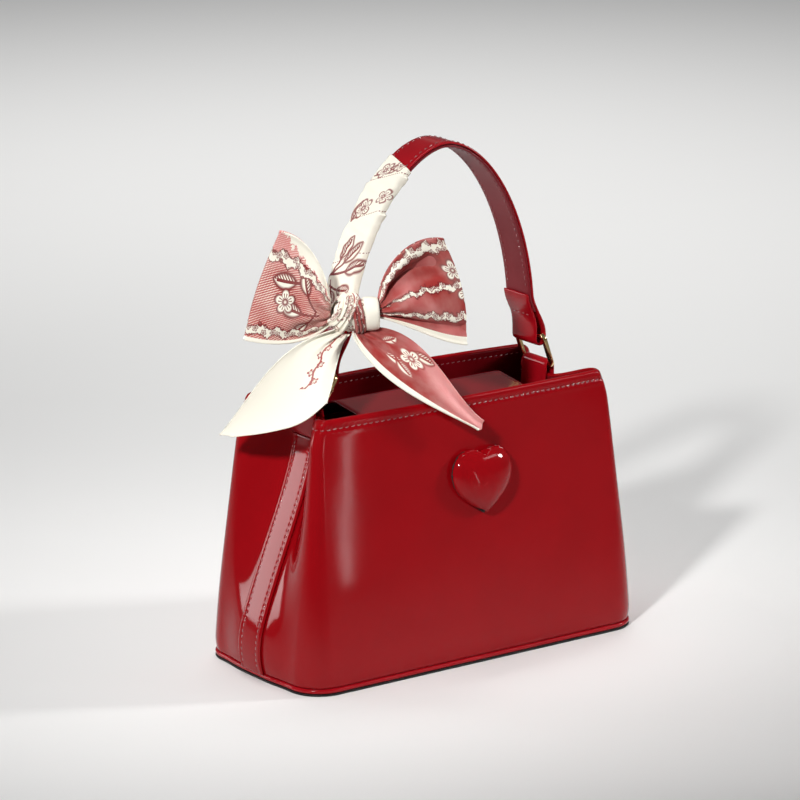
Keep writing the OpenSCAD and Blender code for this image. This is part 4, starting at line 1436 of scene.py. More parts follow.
@dataclass
class Heart:
    """Puffed leather heart on the front."""

    form: BagForm
    width: float = 42.0
    height: float = 39.5
    out: float = 11.0
    x: float = 4.0
    z: float = 110.5
    foot: float = 1.6
    around: int = 180
    rings: int = 30
    cells: int = 150
    passes: int = 3500
    notch_fill: float = 5.0
    notch_reach: float = 5.5
    notch_show: float = 2.0
    tip_round: float = 1.7
    fold_reach: float = 3.6
    fold_length: float = 0.10
    tip_reach: float = 4.5
    undercut: float = 0.95
    grid_reach: float = 0.62

    def outline(self, a: Array) -> Array:
        """Outline of the heart.

        Args:
            a: angles from its notch.

        Returns:
            One point per angle, across and up.
        """
        x = (self.width / 2 * np.sign(np.sin(a)) * np.abs(np.sin(a)) ** 2.2
             + 0.035 * self.height * np.sin(a / 2) ** 8)
        y = self.height * (0.51 * np.cos(a) - 0.101 * np.cos(2 * a) - 0.065 * np.cos(3 * a)
                           - 0.024 * np.cos(4 * a))
        return np.stack([x, y], 1)

    def inflate(self, line: Array) -> Callable[[Array], Array]:
        """Height of a cover that is blown up over the outline, from 0 to 1.

        Args:
            line: the outline's points.

        Returns:
            A function from points to heights.
        """
        n = self.cells
        reach = self.height * self.grid_reach
        axis = np.linspace(-reach, reach, n)
        xx, yy = np.meshgrid(axis, axis)
        inside = np.zeros((n, n), bool)
        for (x0, y0), (x1, y1) in zip(line, np.roll(line, -1, axis=0)):
            cross = (y0 > yy) != (y1 > yy)
            at = x0 + (yy - y0) * (x1 - x0) / (y1 - y0 if y1 != y0 else 1e-9)
            inside ^= cross & (xx < at)
        swell = np.zeros((n, n))
        for _ in range(self.passes):
            beside = np.roll(swell, 1, 1) + np.roll(swell, -1, 1)
            around = (np.roll(swell, 1, 0) + np.roll(swell, -1, 0) + beside) / 4
            swell = np.where(inside, around + 1.0, 0.0)
        swell = swell / swell.max()

        def level(p: Array) -> Array:
            """Smoothed height of the cover.

            Args:
                p: points, across and up.

            Returns:
                One height per point.
            """
            q = np.clip((p + reach) / (2 * reach) * (n - 1), 0, n - 1.001)
            i, j = q[:, 0].astype(int), q[:, 1].astype(int)
            a, b = q[:, 0] - i, q[:, 1] - j
            flat = ((1 - a) * (1 - b) * swell[j, i] + a * (1 - b) * swell[j, i + 1]
                    + (1 - a) * b * swell[j + 1, i] + a * b * swell[j + 1, i + 1])
            return np.clip(flat, 0.0, 1.0) ** 0.5

        return level

    def build(self) -> None:
        """Makes the heart as one padded piece."""
        f = self.form
        line = self.outline(-TAU * np.arange(self.around) / self.around)
        rise = self.out - self.foot
        upper = line[:, 1] > 0
        filled = line.copy()
        filled[:, 1] += upper * self.notch_fill * bump(line[:, 0], 0.0, self.notch_reach)
        level = self.inflate(filled)
        notch = upper * bump(line[:, 0], 0.0, self.fold_reach)
        line = line.copy()
        line[:, 1] += upper * self.notch_show * bump(line[:, 0], 0.0, self.notch_reach)
        line[:, 1] += ~upper * self.tip_round * bump(line[:, 0], 0.0, self.tip_reach)
        rows = [np.column_stack([line * self.undercut, np.full(self.around, -0.15)])]
        for j in range(self.rings):
            share = math.cos(math.pi / 2 * (j + 0.06) / (self.rings + 0.1))
            p = line * share
            sunk = 1 - notch * (1 - smooth((1 - share) / self.fold_length))
            rows.append(np.column_stack([p, rise * level(p) * sunk]))
        top = np.array([[0.0, 0.0, rise * level(np.zeros((1, 2)))[0]]])
        g = np.concatenate([*rows, top])
        m, n = len(rows), self.around
        faces = grid_faces(m, n, wrap=True).tolist()
        faces += [[(m - 1) * n + i, (m - 1) * n + (i + 1) % n, m * n] for i in range(n)]
        faces.append(list(range(n))[::-1])
        bow = f.bow_at(f.front_bow, self.z) * (1 - (self.x / f.half_w(self.z)) ** 2)
        run = f.half_d(0) - f.half_d(f.rim_h) - f.front_bow + f.tuck(0)
        tilt = math.atan(run / f.rim_h)
        # The heart's own axes: across, up the sloping front, and out of it
        up = np.array([0.0, math.sin(tilt), math.cos(tilt)])
        out = np.array([0.0, -math.cos(tilt), math.sin(tilt)])
        place = (np.array([self.x, -f.half_d(self.z) - bow, self.z]) + g[:, :1] * np.array([1.0, 0.0, 0.0])
                 + g[:, 1:2] * up + (g[:, 2:] + self.foot) * out)
        heart = make_object("heart_puffed_leather", place, faces, g[:, :2] * MM)
        settle(heart, "bag", "red_leather", ("heart_cover", "heart_filling"), RED_LEATHER)


# Straps, tabs, flap and rings

@dataclass
class Strap:
    """A strap of leather along a path, as wide as the across direction says."""

    path: Array
    across: tuple[float, float, float]
    width: float
    thickness: float
    columns: int = 15
    thin: float = 0.16
    round_end: float = 0.0

    def normals(self) -> Array:
        """Direction of the strap's first side at each point."""
        return unit(np.cross(unit(np.gradient(self.path, axis=0)), self.across))

    def build(self, name: str) -> Object:
        """Makes the strap.

        Args:
            name: the piece's name.

        Returns:
            The object.
        """
        t = np.linspace(-1, 1, self.columns)
        half = np.full(len(self.path), self.width / 2)
        if self.round_end:
            s, r = path_length(self.path), self.round_end
            half = half - r + np.sqrt(np.clip(r * r - np.clip(r - (s[-1] - s), 0, r) ** 2, 0, None))
        g = self.path[:, None] + (half[:, None] * t[None, :])[..., None] * np.asarray(self.across)
        thick = self.thickness * (1 - self.thin * np.abs(t) ** 6)[None, :] * np.ones((len(self.path), 1))
        normal = np.broadcast_to(self.normals()[:, None], g.shape)
        return slab(name, g, thick, flat_places(g), normal)

    def edge(self, across: float, side: float, start: float, end: float,
             sunk: float = 0.1) -> tuple[Array, Array]:
        """Path and directions of a row of stitches along the strap.

        Args:
            across: place across the strap from its middle.
            side: 1 for the first side, -1 for the other.
            start: distance along the strap at which the row starts.
            end: distance along the strap at which it ends.
            sunk: how far it lies in the leather.

        Returns:
            The path and the directions.
        """
        n = self.normals() * side
        path = self.path + n * (self.thickness / 2 - sunk) + np.asarray(self.across) * across
        s = path_length(self.path)
        keep = (s >= start) & (s <= end)
        return path[keep], n[keep]


def upright(path: Array) -> Array:
    """A drawing in X and Z as points in space."""
    return np.stack([path[:, 0], np.zeros(len(path)), path[:, 1]], 1)


@dataclass
class RingSizes:
    """Places of the rings, which tabs and handle share."""

    x: float = 83.4
    z: float = 157.0
    pitch: float = 20.5
    width: float = 27.2
    wire: float = 3.0
    bend: float = 3.0
    lean_left: float = 32.0
    lean_right: float = 20.0
    room: float = 0.3

    def bar(self, right: bool) -> Array:
        """Place of the handle's bar.

        Args:
            right: takes the right ring instead of the left one.

        Returns:
            Its X and Z.
        """
        lean = math.radians(self.lean_right if right else self.lean_left)
        x = self.x - self.pitch * math.sin(lean)
        return np.array([x if right else -x, self.z + self.pitch * math.cos(lean)])


@dataclass
class Ring:
    """A flat-sided bent ring."""

    sizes: RingSizes
    right: bool
    half: float = 1.4
    square: float = 4.5
    around: int = 20
    bend_steps: int = 9

    def build(self) -> None:
        """Makes the ring by taking a rounded square round its path."""
        r = self.sizes
        w, h, b = r.width / 2 - r.bend, r.pitch - r.bend, r.bend
        path, out = quarter_turns([(w, b), (w, h), (-w, h), (-w, b)], -90, b, self.bend_steps)
        a = TAU * (np.arange(self.around) + 0.5) / self.around
        u, v = (self.half * np.sign(part) * np.abs(part) ** (2 / self.square)
                for part in (np.cos(a), np.sin(a)))
        yz = path[:, None] + out[:, None] * u[None, :, None]
        x, y, z = np.broadcast_arrays(v, yz[..., 0], yz[..., 1])
        lean = math.radians(-r.lean_right if self.right else r.lean_left)
        g = np.stack([x * math.cos(lean) + z * math.sin(lean) + (r.x if self.right else -r.x), y,
                      z * math.cos(lean) - x * math.sin(lean) + r.z], -1)
        side = "right" if self.right else "left"
        ring = swept(f"ring_{side}_gold", g, around=True)
        settle(ring, f"ring_{side}", "gold_metal", (f"ring_{side}",), GOLD)


@dataclass
class Tab:
    """Leather tab over a ring's bar, from the folded-in side to the inside."""

    form: BagForm
    rings: RingSizes
    right: bool
    width: float = 22.0
    thickness: float = 1.6
    inside: float = 28.0
    lean: float = 2.5
    strip_top: float = 143.0
    stitch_in: float = 2.4

    def build(self) -> None:
        """Makes the tab."""
        r = self.rings
        f = self.form
        reach = r.wire / 2 + r.room + self.thickness / 2
        low = self.strip_top + f.gap - f.rim_dip / 2
        foot = max(r.x + reach, f.side_x(low) + f.gap + self.thickness / 2)
        a = np.radians(np.linspace(0, 180, 25))
        arc = np.stack([r.x + reach * np.cos(a), r.z + reach * np.sin(a)], 1)
        outer = np.linspace([foot, low], arc[0], 10, endpoint=False)
        inner = np.linspace(arc[-1], [r.x - reach - self.lean, r.z - self.inside], 14)[1:]
        path = upright(np.concatenate([outer, arc, inner])) * (1.0 if self.right else FLIP_X)
        strap = Strap(path, (0.0, 1.0, 0.0), self.width, self.thickness)
        side, face = ("right", 1.0) if self.right else ("left", -1.0)
        settle(strap.build(f"tab_{side}_leather"), "bag", "red_leather", (f"tab_{side}",),
               STRAP_LEATHER, EDGE_PAINT)
        total = path_length(path)[-1]
        row = StitchRow(pitch=3.4, length=2.6, thread=0.5, slant=0.0)
        for s, edge in ((-1, "front"), (1, "back")):
            y = s * (self.width / 2 - self.stitch_in)
            row.sew(f"tab_{side}_stitches_{edge}", "bag",
                    *strap.edge(y, face, total - self.inside + 5, total - 1))


@dataclass
class ClosureFlap:
    """Inner flap: sewn to the back, over a crest and down inside the front."""

    form: BagForm
    width: float = 118.0
    x: float = 2.0
    thickness: float = 1.6
    lining_t: float = 0.8
    seam_z: float = 137.0
    crest_z: float = 152.0
    crest_y: float = 8.0
    tongue_y: float = 38.31
    tongue_z: float = 124.0
    round_end: float = 9.0
    lining_in: float = 1.6

    def path(self) -> Array:
        """The flap's middle, from its seam to its tongue.

        Returns:
            Its Y and Z.
        """
        f = self.form
        seam_y = (f.half_d(self.seam_z) + f.bow_at(f.back_bow, self.seam_z)
                  * (1 - (self.width / 2 / f.half_w(self.seam_z)) ** 2)
                  - f.wall_t - 2 * f.gap - self.thickness / 2)
        run, rise = seam_y - self.crest_y, self.crest_z - self.seam_z
        front = self.tongue_y + self.crest_y
        bend = self.crest_z - 0.42 * (self.crest_z - self.tongue_z) - 1
        rear = cubic([[seam_y, self.seam_z], [seam_y - 0.33 * run, self.seam_z + 0.33 * rise],
                      [seam_y - 0.73 * run, self.seam_z + 1.03 * rise], [self.crest_y, self.crest_z]],
                     np.linspace(0, 1, 26))
        fall = cubic([[self.crest_y, self.crest_z],
                      [self.crest_y - 0.47 * front, lerp(self.crest_z, bend, 0.27)],
                      [self.crest_y - front, lerp(self.crest_z, bend, 0.33)], [-self.tongue_y, bend]],
                     np.linspace(0, 1, 32))[1:]
        tongue = np.linspace([-self.tongue_y, bend], [-self.tongue_y, self.tongue_z], 14)[1:]
        return np.concatenate([rear, fall, tongue])

    def build(self) -> None:
        """Makes the flap and its lining."""
        yz = self.path()
        path = np.stack([np.full(len(yz), self.x), yz[:, 0], yz[:, 1]], 1)
        across = (-1.0, 0.0, 0.0)
        flap = Strap(path, across, self.width, self.thickness, columns=41,
                     round_end=self.round_end)
        # The flap wears the darker copy of the red leather, as painted shade.
        settle(flap.build("closure_flap_leather"), "flap", "red_leather", ("closure_flap",),
               SHADED_INSIDE_LEATHER, EDGE_PAINT)
        low = path[3:-1] + flap.normals()[3:-1] * (self.thickness / 2 + 0.1 + self.lining_t / 2)
        lining = Strap(low, across, self.width - 2 * self.lining_in, self.lining_t,
                       columns=31, round_end=self.round_end - 1)
        settle(lining.build("flap_lining_cloth"), "flap", "lining", ("flap_lining",),
               BLACK_LINING, BLACK_LINING)


@dataclass
class Handle:
    """Strap of two plies over an arch, folded back round both rings."""

    rings: RingSizes
    width: float = 22.0
    ply: float = 1.6
    gap: float = 0.2
    top: float = 301.0
    foot: float = 185.0
    half: float = 68.5
    foot_x: float = 3.0
    top_x: float = 7.0
    power: float = 1.093
    loop_drop: float = 2.4
    inner_foot: float = 190.0
    loop_room: float = 0.7
    first: float = 10.0
    stitch_in: float = 2.4
    stitch_free: float = 12.0
    cross_at: float = 13.0

    def arch_point(self, degrees: Array) -> Array:
        """Outer face of the arch.

        Args:
            degrees: angles from its right foot.

        Returns:
            X and Z at each angle.
        """
        a = np.radians(degrees)
        z = self.foot + (self.top - self.foot) * np.sin(a) ** self.power
        x = (lerp(self.foot_x, self.top_x, (z - self.foot) / (self.top - self.foot))
             + self.half * np.sign(np.cos(a)) * np.abs(np.cos(a)) ** self.power)
        return np.stack([x, z], 1)

    def end(self, bar: Array, top: Array, heading: Array, room: float) -> tuple[Array, Array]:
        """One end of the strap, drawn for the right side.

        Args:
            bar: place of the ring's bar.
            top: where the arch ends.
            heading: the strap's direction there.
            room: room round the bar.

        Returns:
            The path from the arch down, round the bar and up again, and its first stretch alone.
        """
        r = self.rings.wire / 2 + room + self.ply / 2
        low, back, hold = bar[1] - self.loop_drop, 2 * self.ply + 2 * self.gap, (top[1] - bar[1]) / 3
        down = cubic([top, top + hold * heading, [bar[0] + r, bar[1] + hold], [bar[0] + r, bar[1]]],
                     np.linspace(0, 1, 25))
        near = path_shift(down, -back)
        lay = near[near[:, 1] > self.inner_foot]
        last = len(lay) - 1
        foot, rise = lay[last], unit(near[last - 1] - near[last])
        a = np.radians(np.arange(0, -181, -10))
        turn = np.stack([bar[0] + r * np.cos(a), low + r * np.sin(a)], 1)
        join = cubic([[bar[0] - r, bar[1]], [bar[0] - r, lerp(bar[1], foot[1], 0.5)],
                      foot - rise * (foot[1] - bar[1]) / 3, foot], np.linspace(0, 1, 16))[1:]
        return np.concatenate([down[1:], turn, join, lay[:-1][::-1]]), down

    def paths(self) -> tuple[Array, Array]:
        """Middles of the two plies.

        Returns:
            The outer and the inner one, in X and Z.
        """
        arch = self.arch_point(np.linspace(self.first, 180 - self.first, 121))
        mid = path_shift(arch, self.ply / 2)
        flip = np.array([-1.0, 1.0])
        room = self.rings.room
        turned = mid[::-1] * flip
        right, right_down = self.end(self.rings.bar(True), mid[0], unit(mid[0] - mid[1]),
                                     room + self.loop_room)
        left, left_down = self.end(self.rings.bar(False) * flip, turned[0], unit(turned[0] - turned[1]),
                                   room + self.gap)
        outer = np.concatenate([right[::-1], mid, left * flip])
        least = self.inner_foot + self.ply
        inner = np.concatenate([right_down[1:][right_down[1:, 1] > least][::-1], mid,
                                left_down[1:][left_down[1:, 1] > least] * flip])
        return outer, path_shift(inner, self.ply + self.gap)

    def build(self) -> None:
        """Makes both plies and their stitches."""
        outer_path, inner_path = self.paths()
        outer, inner = (Strap(upright(path), (0.0, 1.0, 0.0), self.width, self.ply)
                        for path in (outer_path, inner_path))
        for strap, name, finish in ((outer, "outer", STRAP_LEATHER), (inner, "inner", INNER_LEATHER)):
            settle(strap.build(f"handle_{name}_leather"), "handle", "red_leather", (f"handle_{name}_ply",),
                   finish, EDGE_PAINT)
        s = path_length(outer_path)
        high = np.flatnonzero(outer_path[:, 1] > self.inner_foot + 2)
        breaks = np.flatnonzero(np.diff(high) > 1)
        arch = s[high[breaks[0] + 1]], s[high[breaks[-1]]]
        inside = self.stitch_free, path_length(inner_path)[-1] - self.stitch_free
        row, reach = StitchRow(slant=0.0), self.width / 2 - self.stitch_in
        for y, edge in ((-reach, "front"), (reach, "back")):
            row.sew(f"handle_stitches_outer_{edge}", "handle", *outer.edge(y, -1.0, *arch))
            row.sew(f"handle_stitches_inner_{edge}", "handle", *inner.edge(y, 1.0, *inside))
        for at, side in ((self.cross_at, "right"), (s[-1] - self.cross_at, "left")):
            k = int(np.argmin(np.abs(s - at)))
            n = outer.normals()[k] * self.fold_side(outer, k)
            across = np.outer(np.linspace(-reach, reach, 9), outer.across)
            path = outer.path[k] + n * (self.ply / 2 - 0.1) + across
            row.sew(f"handle_cross_stitches_{side}", "handle", path, np.tile(n, (9, 1)), 0.2)

    def fold_side(self, strap: Strap, k: int) -> float:
        """Sign of the side that shows inside the arch at a point of a folded-back end."""
        middle = strap.path[len(strap.path) // 2] - np.array([0.0, 0.0, 60.0])
        return float(np.sign(np.dot(middle - strap.path[k], strap.normals()[k])))


# The scarf


@dataclass
class KnotBand:
    """One band of gathered cloth over the knot."""

    name: str
    head: float
    foot: float
    half: float
    lift: float
    pleats: float
    depth: float
    finish: Silk
    sway: float = 0.0
    waist: float = 0.0
    even: float = 0.0


@dataclass
class Knot:
    """The scarf's knot: folded cloth with bands crossing over it."""

    bands: tuple[KnotBand, ...]

    x: float = -66.93
    y: float = -22.1
    z: float = 212.0
    half_w: float = 13.5
    half_d: float = 9.0
    half_h: float = 11.0
    turn: float = 25.0
    width: float = 60.0
    band_width: float = 25.0
    lobe: float = 0.09
    fold: float = 1.9
    fine_fold: float = 0.5
    around: int = 200
    up: int = 96

    def place(self, p: Array) -> Array:
        """Turns points of the knot's own axes into points of the part.

        Args:
            p: points in the knot's axes.

        Returns:
            The points in the part's axes.
        """
        a = math.radians(self.turn)
        x = p[..., 0] * math.cos(a) + p[..., 1] * math.sin(a)
        y = -p[..., 0] * math.sin(a) + p[..., 1] * math.cos(a)
        return np.stack([x + self.x, y + self.y, p[..., 2] + self.z], -1)

    def swell(self, a: Array, e: Array | float = 0.0) -> Array:
        """Share by which the knot swells at an angle round it."""
        return lerp(1.0, 1 + self.lobe * np.cos(3 * a + math.radians(40)), np.cos(e))

    def root(self, right: bool) -> float:
        """Distance of a loop's root from the knot's middle."""
        return self.half_w * float(self.swell(np.array(0.0 if right else math.pi))) + 0.4

    def under(self, x: Array, y: Array) -> Array:
        """Depth of the knot's underside.

        Args:
            x: offset from the knot's middle along X.
            y: offset along Y.

        Returns:
            Depth below the knot's middle.
        """
        a = math.radians(self.turn)
        s = (x * math.cos(a) - y * math.sin(a)) / self.half_w
        d = (x * math.sin(a) + y * math.cos(a)) / self.half_d
        return self.half_h * np.sqrt(np.clip(1 - s * s - d * d, 0.1, None))

    def folds(self, x: Array, z: Array) -> Array:
        """Height of the cloth's folds over the knot.

        Args:
            x: share across the knot.
            z: share up the knot.

        Returns:
            Height in millimetres.
        """
        lean = x + 0.22 * z + 0.16 * np.sin(2.6 * z + 0.7)
        wide = np.abs(np.sin(math.pi * 2.3 * (lean + 0.33))) ** 0.5
        fine = np.abs(np.sin(math.pi * 5.1 * (lean + 0.12 * np.sin(4 * z)))) ** 0.7
        return self.fold * (wide - 0.75) + self.fine_fold * (fine - 0.6)

    def build(self) -> None:
        """Makes the knot's body and the cloth that crosses over it."""
        a = TAU * np.arange(self.around) / self.around
        e = np.radians(np.linspace(-88, 88, self.up))
        ee, aa = np.meshgrid(e, a, indexing="ij")
        f = self.swell(aa, ee)
        flat = np.stack([np.cos(ee) * np.cos(aa), np.cos(ee) * np.sin(aa), np.sin(ee)], -1)
        move = self.folds(flat[..., 0], flat[..., 2]) * (0.35 + 0.65 * np.cos(ee)) - 1.2
        p = np.stack([f * self.half_w * flat[..., 0], f * self.half_d * flat[..., 1],
                      self.half_h * flat[..., 2]], -1) + flat * move[..., None]
        uv = np.stack([aa * self.half_w, (ee + 2) * self.half_h], -1)
        body = swept("scarf_knot_silk", self.place(p), uv)
        settle(body, "handle", "scarf_cream", ("scarf_knot",), KNOT_SILK)
        for band in self.bands:
            self.cross(band)

    def cross(self, band: KnotBand) -> None:
        """Makes one band of cloth that crosses the knot from top to bottom.

        Args:
            band: the band's sizes.
        """
        b = TAU * np.arange(150) / 150
        t = np.sin(np.linspace(-1, 1, 61) * math.pi / 2)
        bb, tt = np.meshgrid(b, t, indexing="ij")
        level = (1 + np.sin(bb)) / 2
        half = band.half * (1 - band.waist * np.cos(bb) ** 4)
        x = lerp(band.foot, band.head, level) + band.sway * np.sin(2 * bb) + half * tt
        s = band.even or np.sqrt(np.clip(1 - (x / (self.half_w * 1.08)) ** 2, 0.12, 1))
        phase = math.pi * band.pleats * (tt + 1) / 2
        pleat = np.abs(np.sin(phase + 0.5 * np.sin(bb * 2 + band.head))) ** 0.55 - 0.6
        crown = band.lift + band.depth * pleat * (1 - tt ** 6) - 0.8 * tt ** 6
        y = -np.cos(bb) * (self.half_d * s + crown)
        z = np.sin(bb) * (self.half_h * s + crown)
        mid = np.stack([x, y, z], -1)
        out = unit(np.stack([0.12 * tt, -np.cos(bb), np.sin(bb)], -1))
        section = np.concatenate([mid + out * 0.4, (mid - out * 0.5)[:, ::-1]], 1)
        u = np.concatenate([tt, tt[:, ::-1]], 1) * band.half * 1.6 + 12
        v = np.concatenate([bb, bb], 1) * self.half_h
        uv = np.stack([u, v], -1)
        cloth = swept(f"scarf_knot_band_{band.name}", self.place(section), uv, around=True)
        settle(cloth, "handle", "scarf_cream", (), band.finish)


@dataclass
class Wrap:
    """Scarf wound round the handle's left leg in overlapping turns."""

    handle: Handle
    start: float = 115.45
    end: float = 166.9
    slant: float = 4.2
    half_w: float = 11.35
    depth: float = 3.6
    pitch: float = 26.0
    phase: float = 0.22
    slow_from: float = 45.0
    slow: float = 0.2
    corner: float = 1.5
    cloth: float = 0.45
    least: float = 0.3
    pleat: float = 1.2
    pleats: float = 150 / 11
    crease: float = 0.25
    unevenness: float = 0.12
    tie: float = 0.7
    bulge: float = 0.5
    layer: float = 1.15
    round_length: float = 55.0
    width: float = 50.0
    around: int = 150
    rows: int = 300

    def section(self) -> tuple[Array, Array]:
        """Closed cross section round the strap.

        Returns:
            Its points, as across and deep, and their outward directions.
        """
        r = self.corner
        w, h = self.half_w - r, self.depth / 2 + 0.2 - r
        points, out = quarter_turns([(w, h), (-w, h), (-w, -h), (w, -h)], 0, r, 8)
        points, out = (np.concatenate([a, a[:1]]) for a in (points, out))
        at = path_length(points)[-1] * np.arange(self.around) / self.around
        p, n = resample(points, at, out)
        return p, unit(n)

    def build(self) -> None:
        """Makes the wrap as a thin double-walled tube."""
        p, n = self.section()
        back = (p[:, 0] / self.half_w + 1) / 2
        share = np.linspace(0, 1, self.rows)[:, None]
        degrees = lerp(self.start - self.slant * back[None], self.end, share)
        arch = self.handle.arch_point(degrees.ravel()).reshape(self.rows, self.around, 2)
        d = unit(np.gradient(arch, axis=0))
        inward = np.stack([-d[..., 1], d[..., 0]], -1)
        length = np.linalg.norm(np.diff(arch, axis=0), axis=-1)
        ss = np.concatenate([length[:1] * 0, np.cumsum(length, 0)], 0)
        ss = ss - self.slant * 1.3 * (back[None] - 0.5)
        kk = np.broadcast_to(np.arange(self.around) / self.around, ss.shape)
        slowed = np.where(ss < self.slow_from, ss, self.slow_from + (ss - self.slow_from) * self.slow)
        place = slowed / self.pitch - kk + self.phase
        number = np.floor(place)
        turn = place - number
        began = self.pitch * (number + kk - self.phase)
        late = self.slow_from + (began - self.slow_from) / self.slow
        began = np.where(began < self.slow_from, began, late)
        foot = ss[-1:] - ss
        first = smooth(ss / 2.0)
        lap = self.layer * (1 - turn) * np.where(number < 0, 0.25, 1.0) * smooth(turn / 0.03)
        pleats = np.abs(np.sin(math.pi * (kk * self.pleats + 0.04 * ss))) ** 0.6 - 0.6
        creases = np.sin(TAU * (ss / 7.3 + 1.5 * kk) + 1.2 * np.sin(ss / 9)) * bump(turn, 0.25, 0.22)
        grow = (self.cloth + 0.2 * first + lap + self.pleat * pleats * bump(foot, 0.0, 15.0)
                + self.crease * creases + self.unevenness * np.sin(ss / 3.1 + 9 * kk))
        grow = grow - self.tie * bump(foot, 0.0, 6.0) + self.bulge * bump(foot, 11.0, 6.0)
        grow = np.maximum(grow, self.least)
        rim = self.depth / 2
        faces = []
        for level in (grow, np.full_like(grow, 0.15)):
            across = p[None, :, 0] + n[None, :, 0] * level
            deep = rim + p[None, :, 1] + n[None, :, 1] * level
            faces.append(np.stack([arch[..., 0] + inward[..., 0] * deep, across,
                                   arch[..., 1] + inward[..., 1] * deep], -1))
        outer, inner = faces
        loop = np.concatenate([outer, inner[::-1]], 0).transpose(1, 0, 2)
        u = ss - began
        v = (number + kk) * self.round_length + 1000 * number
        flat = np.stack([np.concatenate([u, u[::-1]]), np.concatenate([v, v[::-1]])], -1).transpose(1, 0, 2)
        wrap = swept("scarf_wrap_silk", loop, flat, around=True)
        settle(wrap, "handle", "scarf_cream", ("scarf_wrap",), WRAP_SILK)


@dataclass
class Loop:
    """One loop of the bow: cloth that goes out from the knot, turns and comes back."""

    knot: Knot
    right: bool
    low: tuple
    high: tuple
    length: float
    bulge: float
    finish: Silk
    dents: tuple[tuple[float, ...], ...] = ()
    puff: float = 8.0
    sink: float = 0.55
    pleat: float = 0.16
    rays: tuple[float, float, float] = (1.5, 0.45, 0.55)
    cloth: float = 0.5
    hem: float = 0.9
    width: float = 50.0
    steps: int = 84
    columns: int = 84

    def layer(self, u: Array, t: Array, side: int) -> Array:
        """Points of one layer of the loop, in the knot's axes.

        Args:
            u: shares out from the knot.
            t: shares up the cloth.
            side: -1 for the front layer, 1 for the back one.

        Returns:
            The points.
        """
        low, high = cubic(np.array(self.low), u), cubic(np.array(self.high), u)
        p = low + (high - low) * t[..., None]
        root = self.knot.root(self.right)
        swell = self.bulge * np.sin(math.pi * t) * u
        lift = np.sin(math.pi * clamp01(u) ** 0.85)
        puff = (self.puff * np.sign(lift) * np.abs(lift) ** 0.8 * (0.35 + 0.65 * np.sin(math.pi * t))
                + 1.2 * (0.6 + 0.2 * u))
        pleat = self.pleat * self.puff * np.sin(4 * math.pi * t) * np.sin(math.pi * u)
        sink = self.sink * self.puff * np.sin(math.pi * u) * smooth(2 * t - 1) if side < 0 else 0.0
        gather = smooth(u / 0.1) * np.exp(-(u / 0.36) ** 2)
        wide, fine, slow = self.rays
        rays = (wide * np.sin(TAU * 4.3 * t + 1.1 + 0.8 * side) * gather
                + fine * np.sin(TAU * 7.7 * t + 2.5 * u) * gather
                + slow * np.sin(TAU * 2.3 * t + 3.4 * u + side) * np.sin(math.pi * u))
        dent = 0.0
        if side < 0:
            for at, reach, deep, first, last in self.dents:
                reach_in, reach_out = smooth((u - first) / 0.2), smooth((last - u) / 0.15)
                dent = dent + deep * bump(t, at, reach) * reach_in * reach_out
        y = side * (puff - sink) + pleat + rays + dent
        return np.stack([root + (self.length - root) * (p[..., 0] + swell), y, self.length * p[..., 1]], -1)

    def build(self) -> None:
        """Makes the loop."""
        u = np.sin(np.linspace(0, math.pi / 2, self.steps)) ** 0.9
        uu, tt = np.meshgrid(u, crowded(self.columns, 0.12), indexing="ij")
        g = np.concatenate([self.layer(uu, tt, -1), self.layer(uu, tt, 1)[::-1]])
        if not self.right:
            g = g * FLIP_X
        thick = self.cloth + self.hem * (bump(tt, 0.0, 0.018) + bump(tt, 1.0, 0.018))
        thick = np.concatenate([thick, thick[::-1]])
        side = "right" if self.right else "left"
        uv = flat_places(g, self.width)
        loop = slab(f"scarf_loop_{side}_silk", self.knot.place(g), thick, uv)
        settle(loop, "handle", "scarf_rose", (f"scarf_loop_{side}",), self.finish, self.finish)


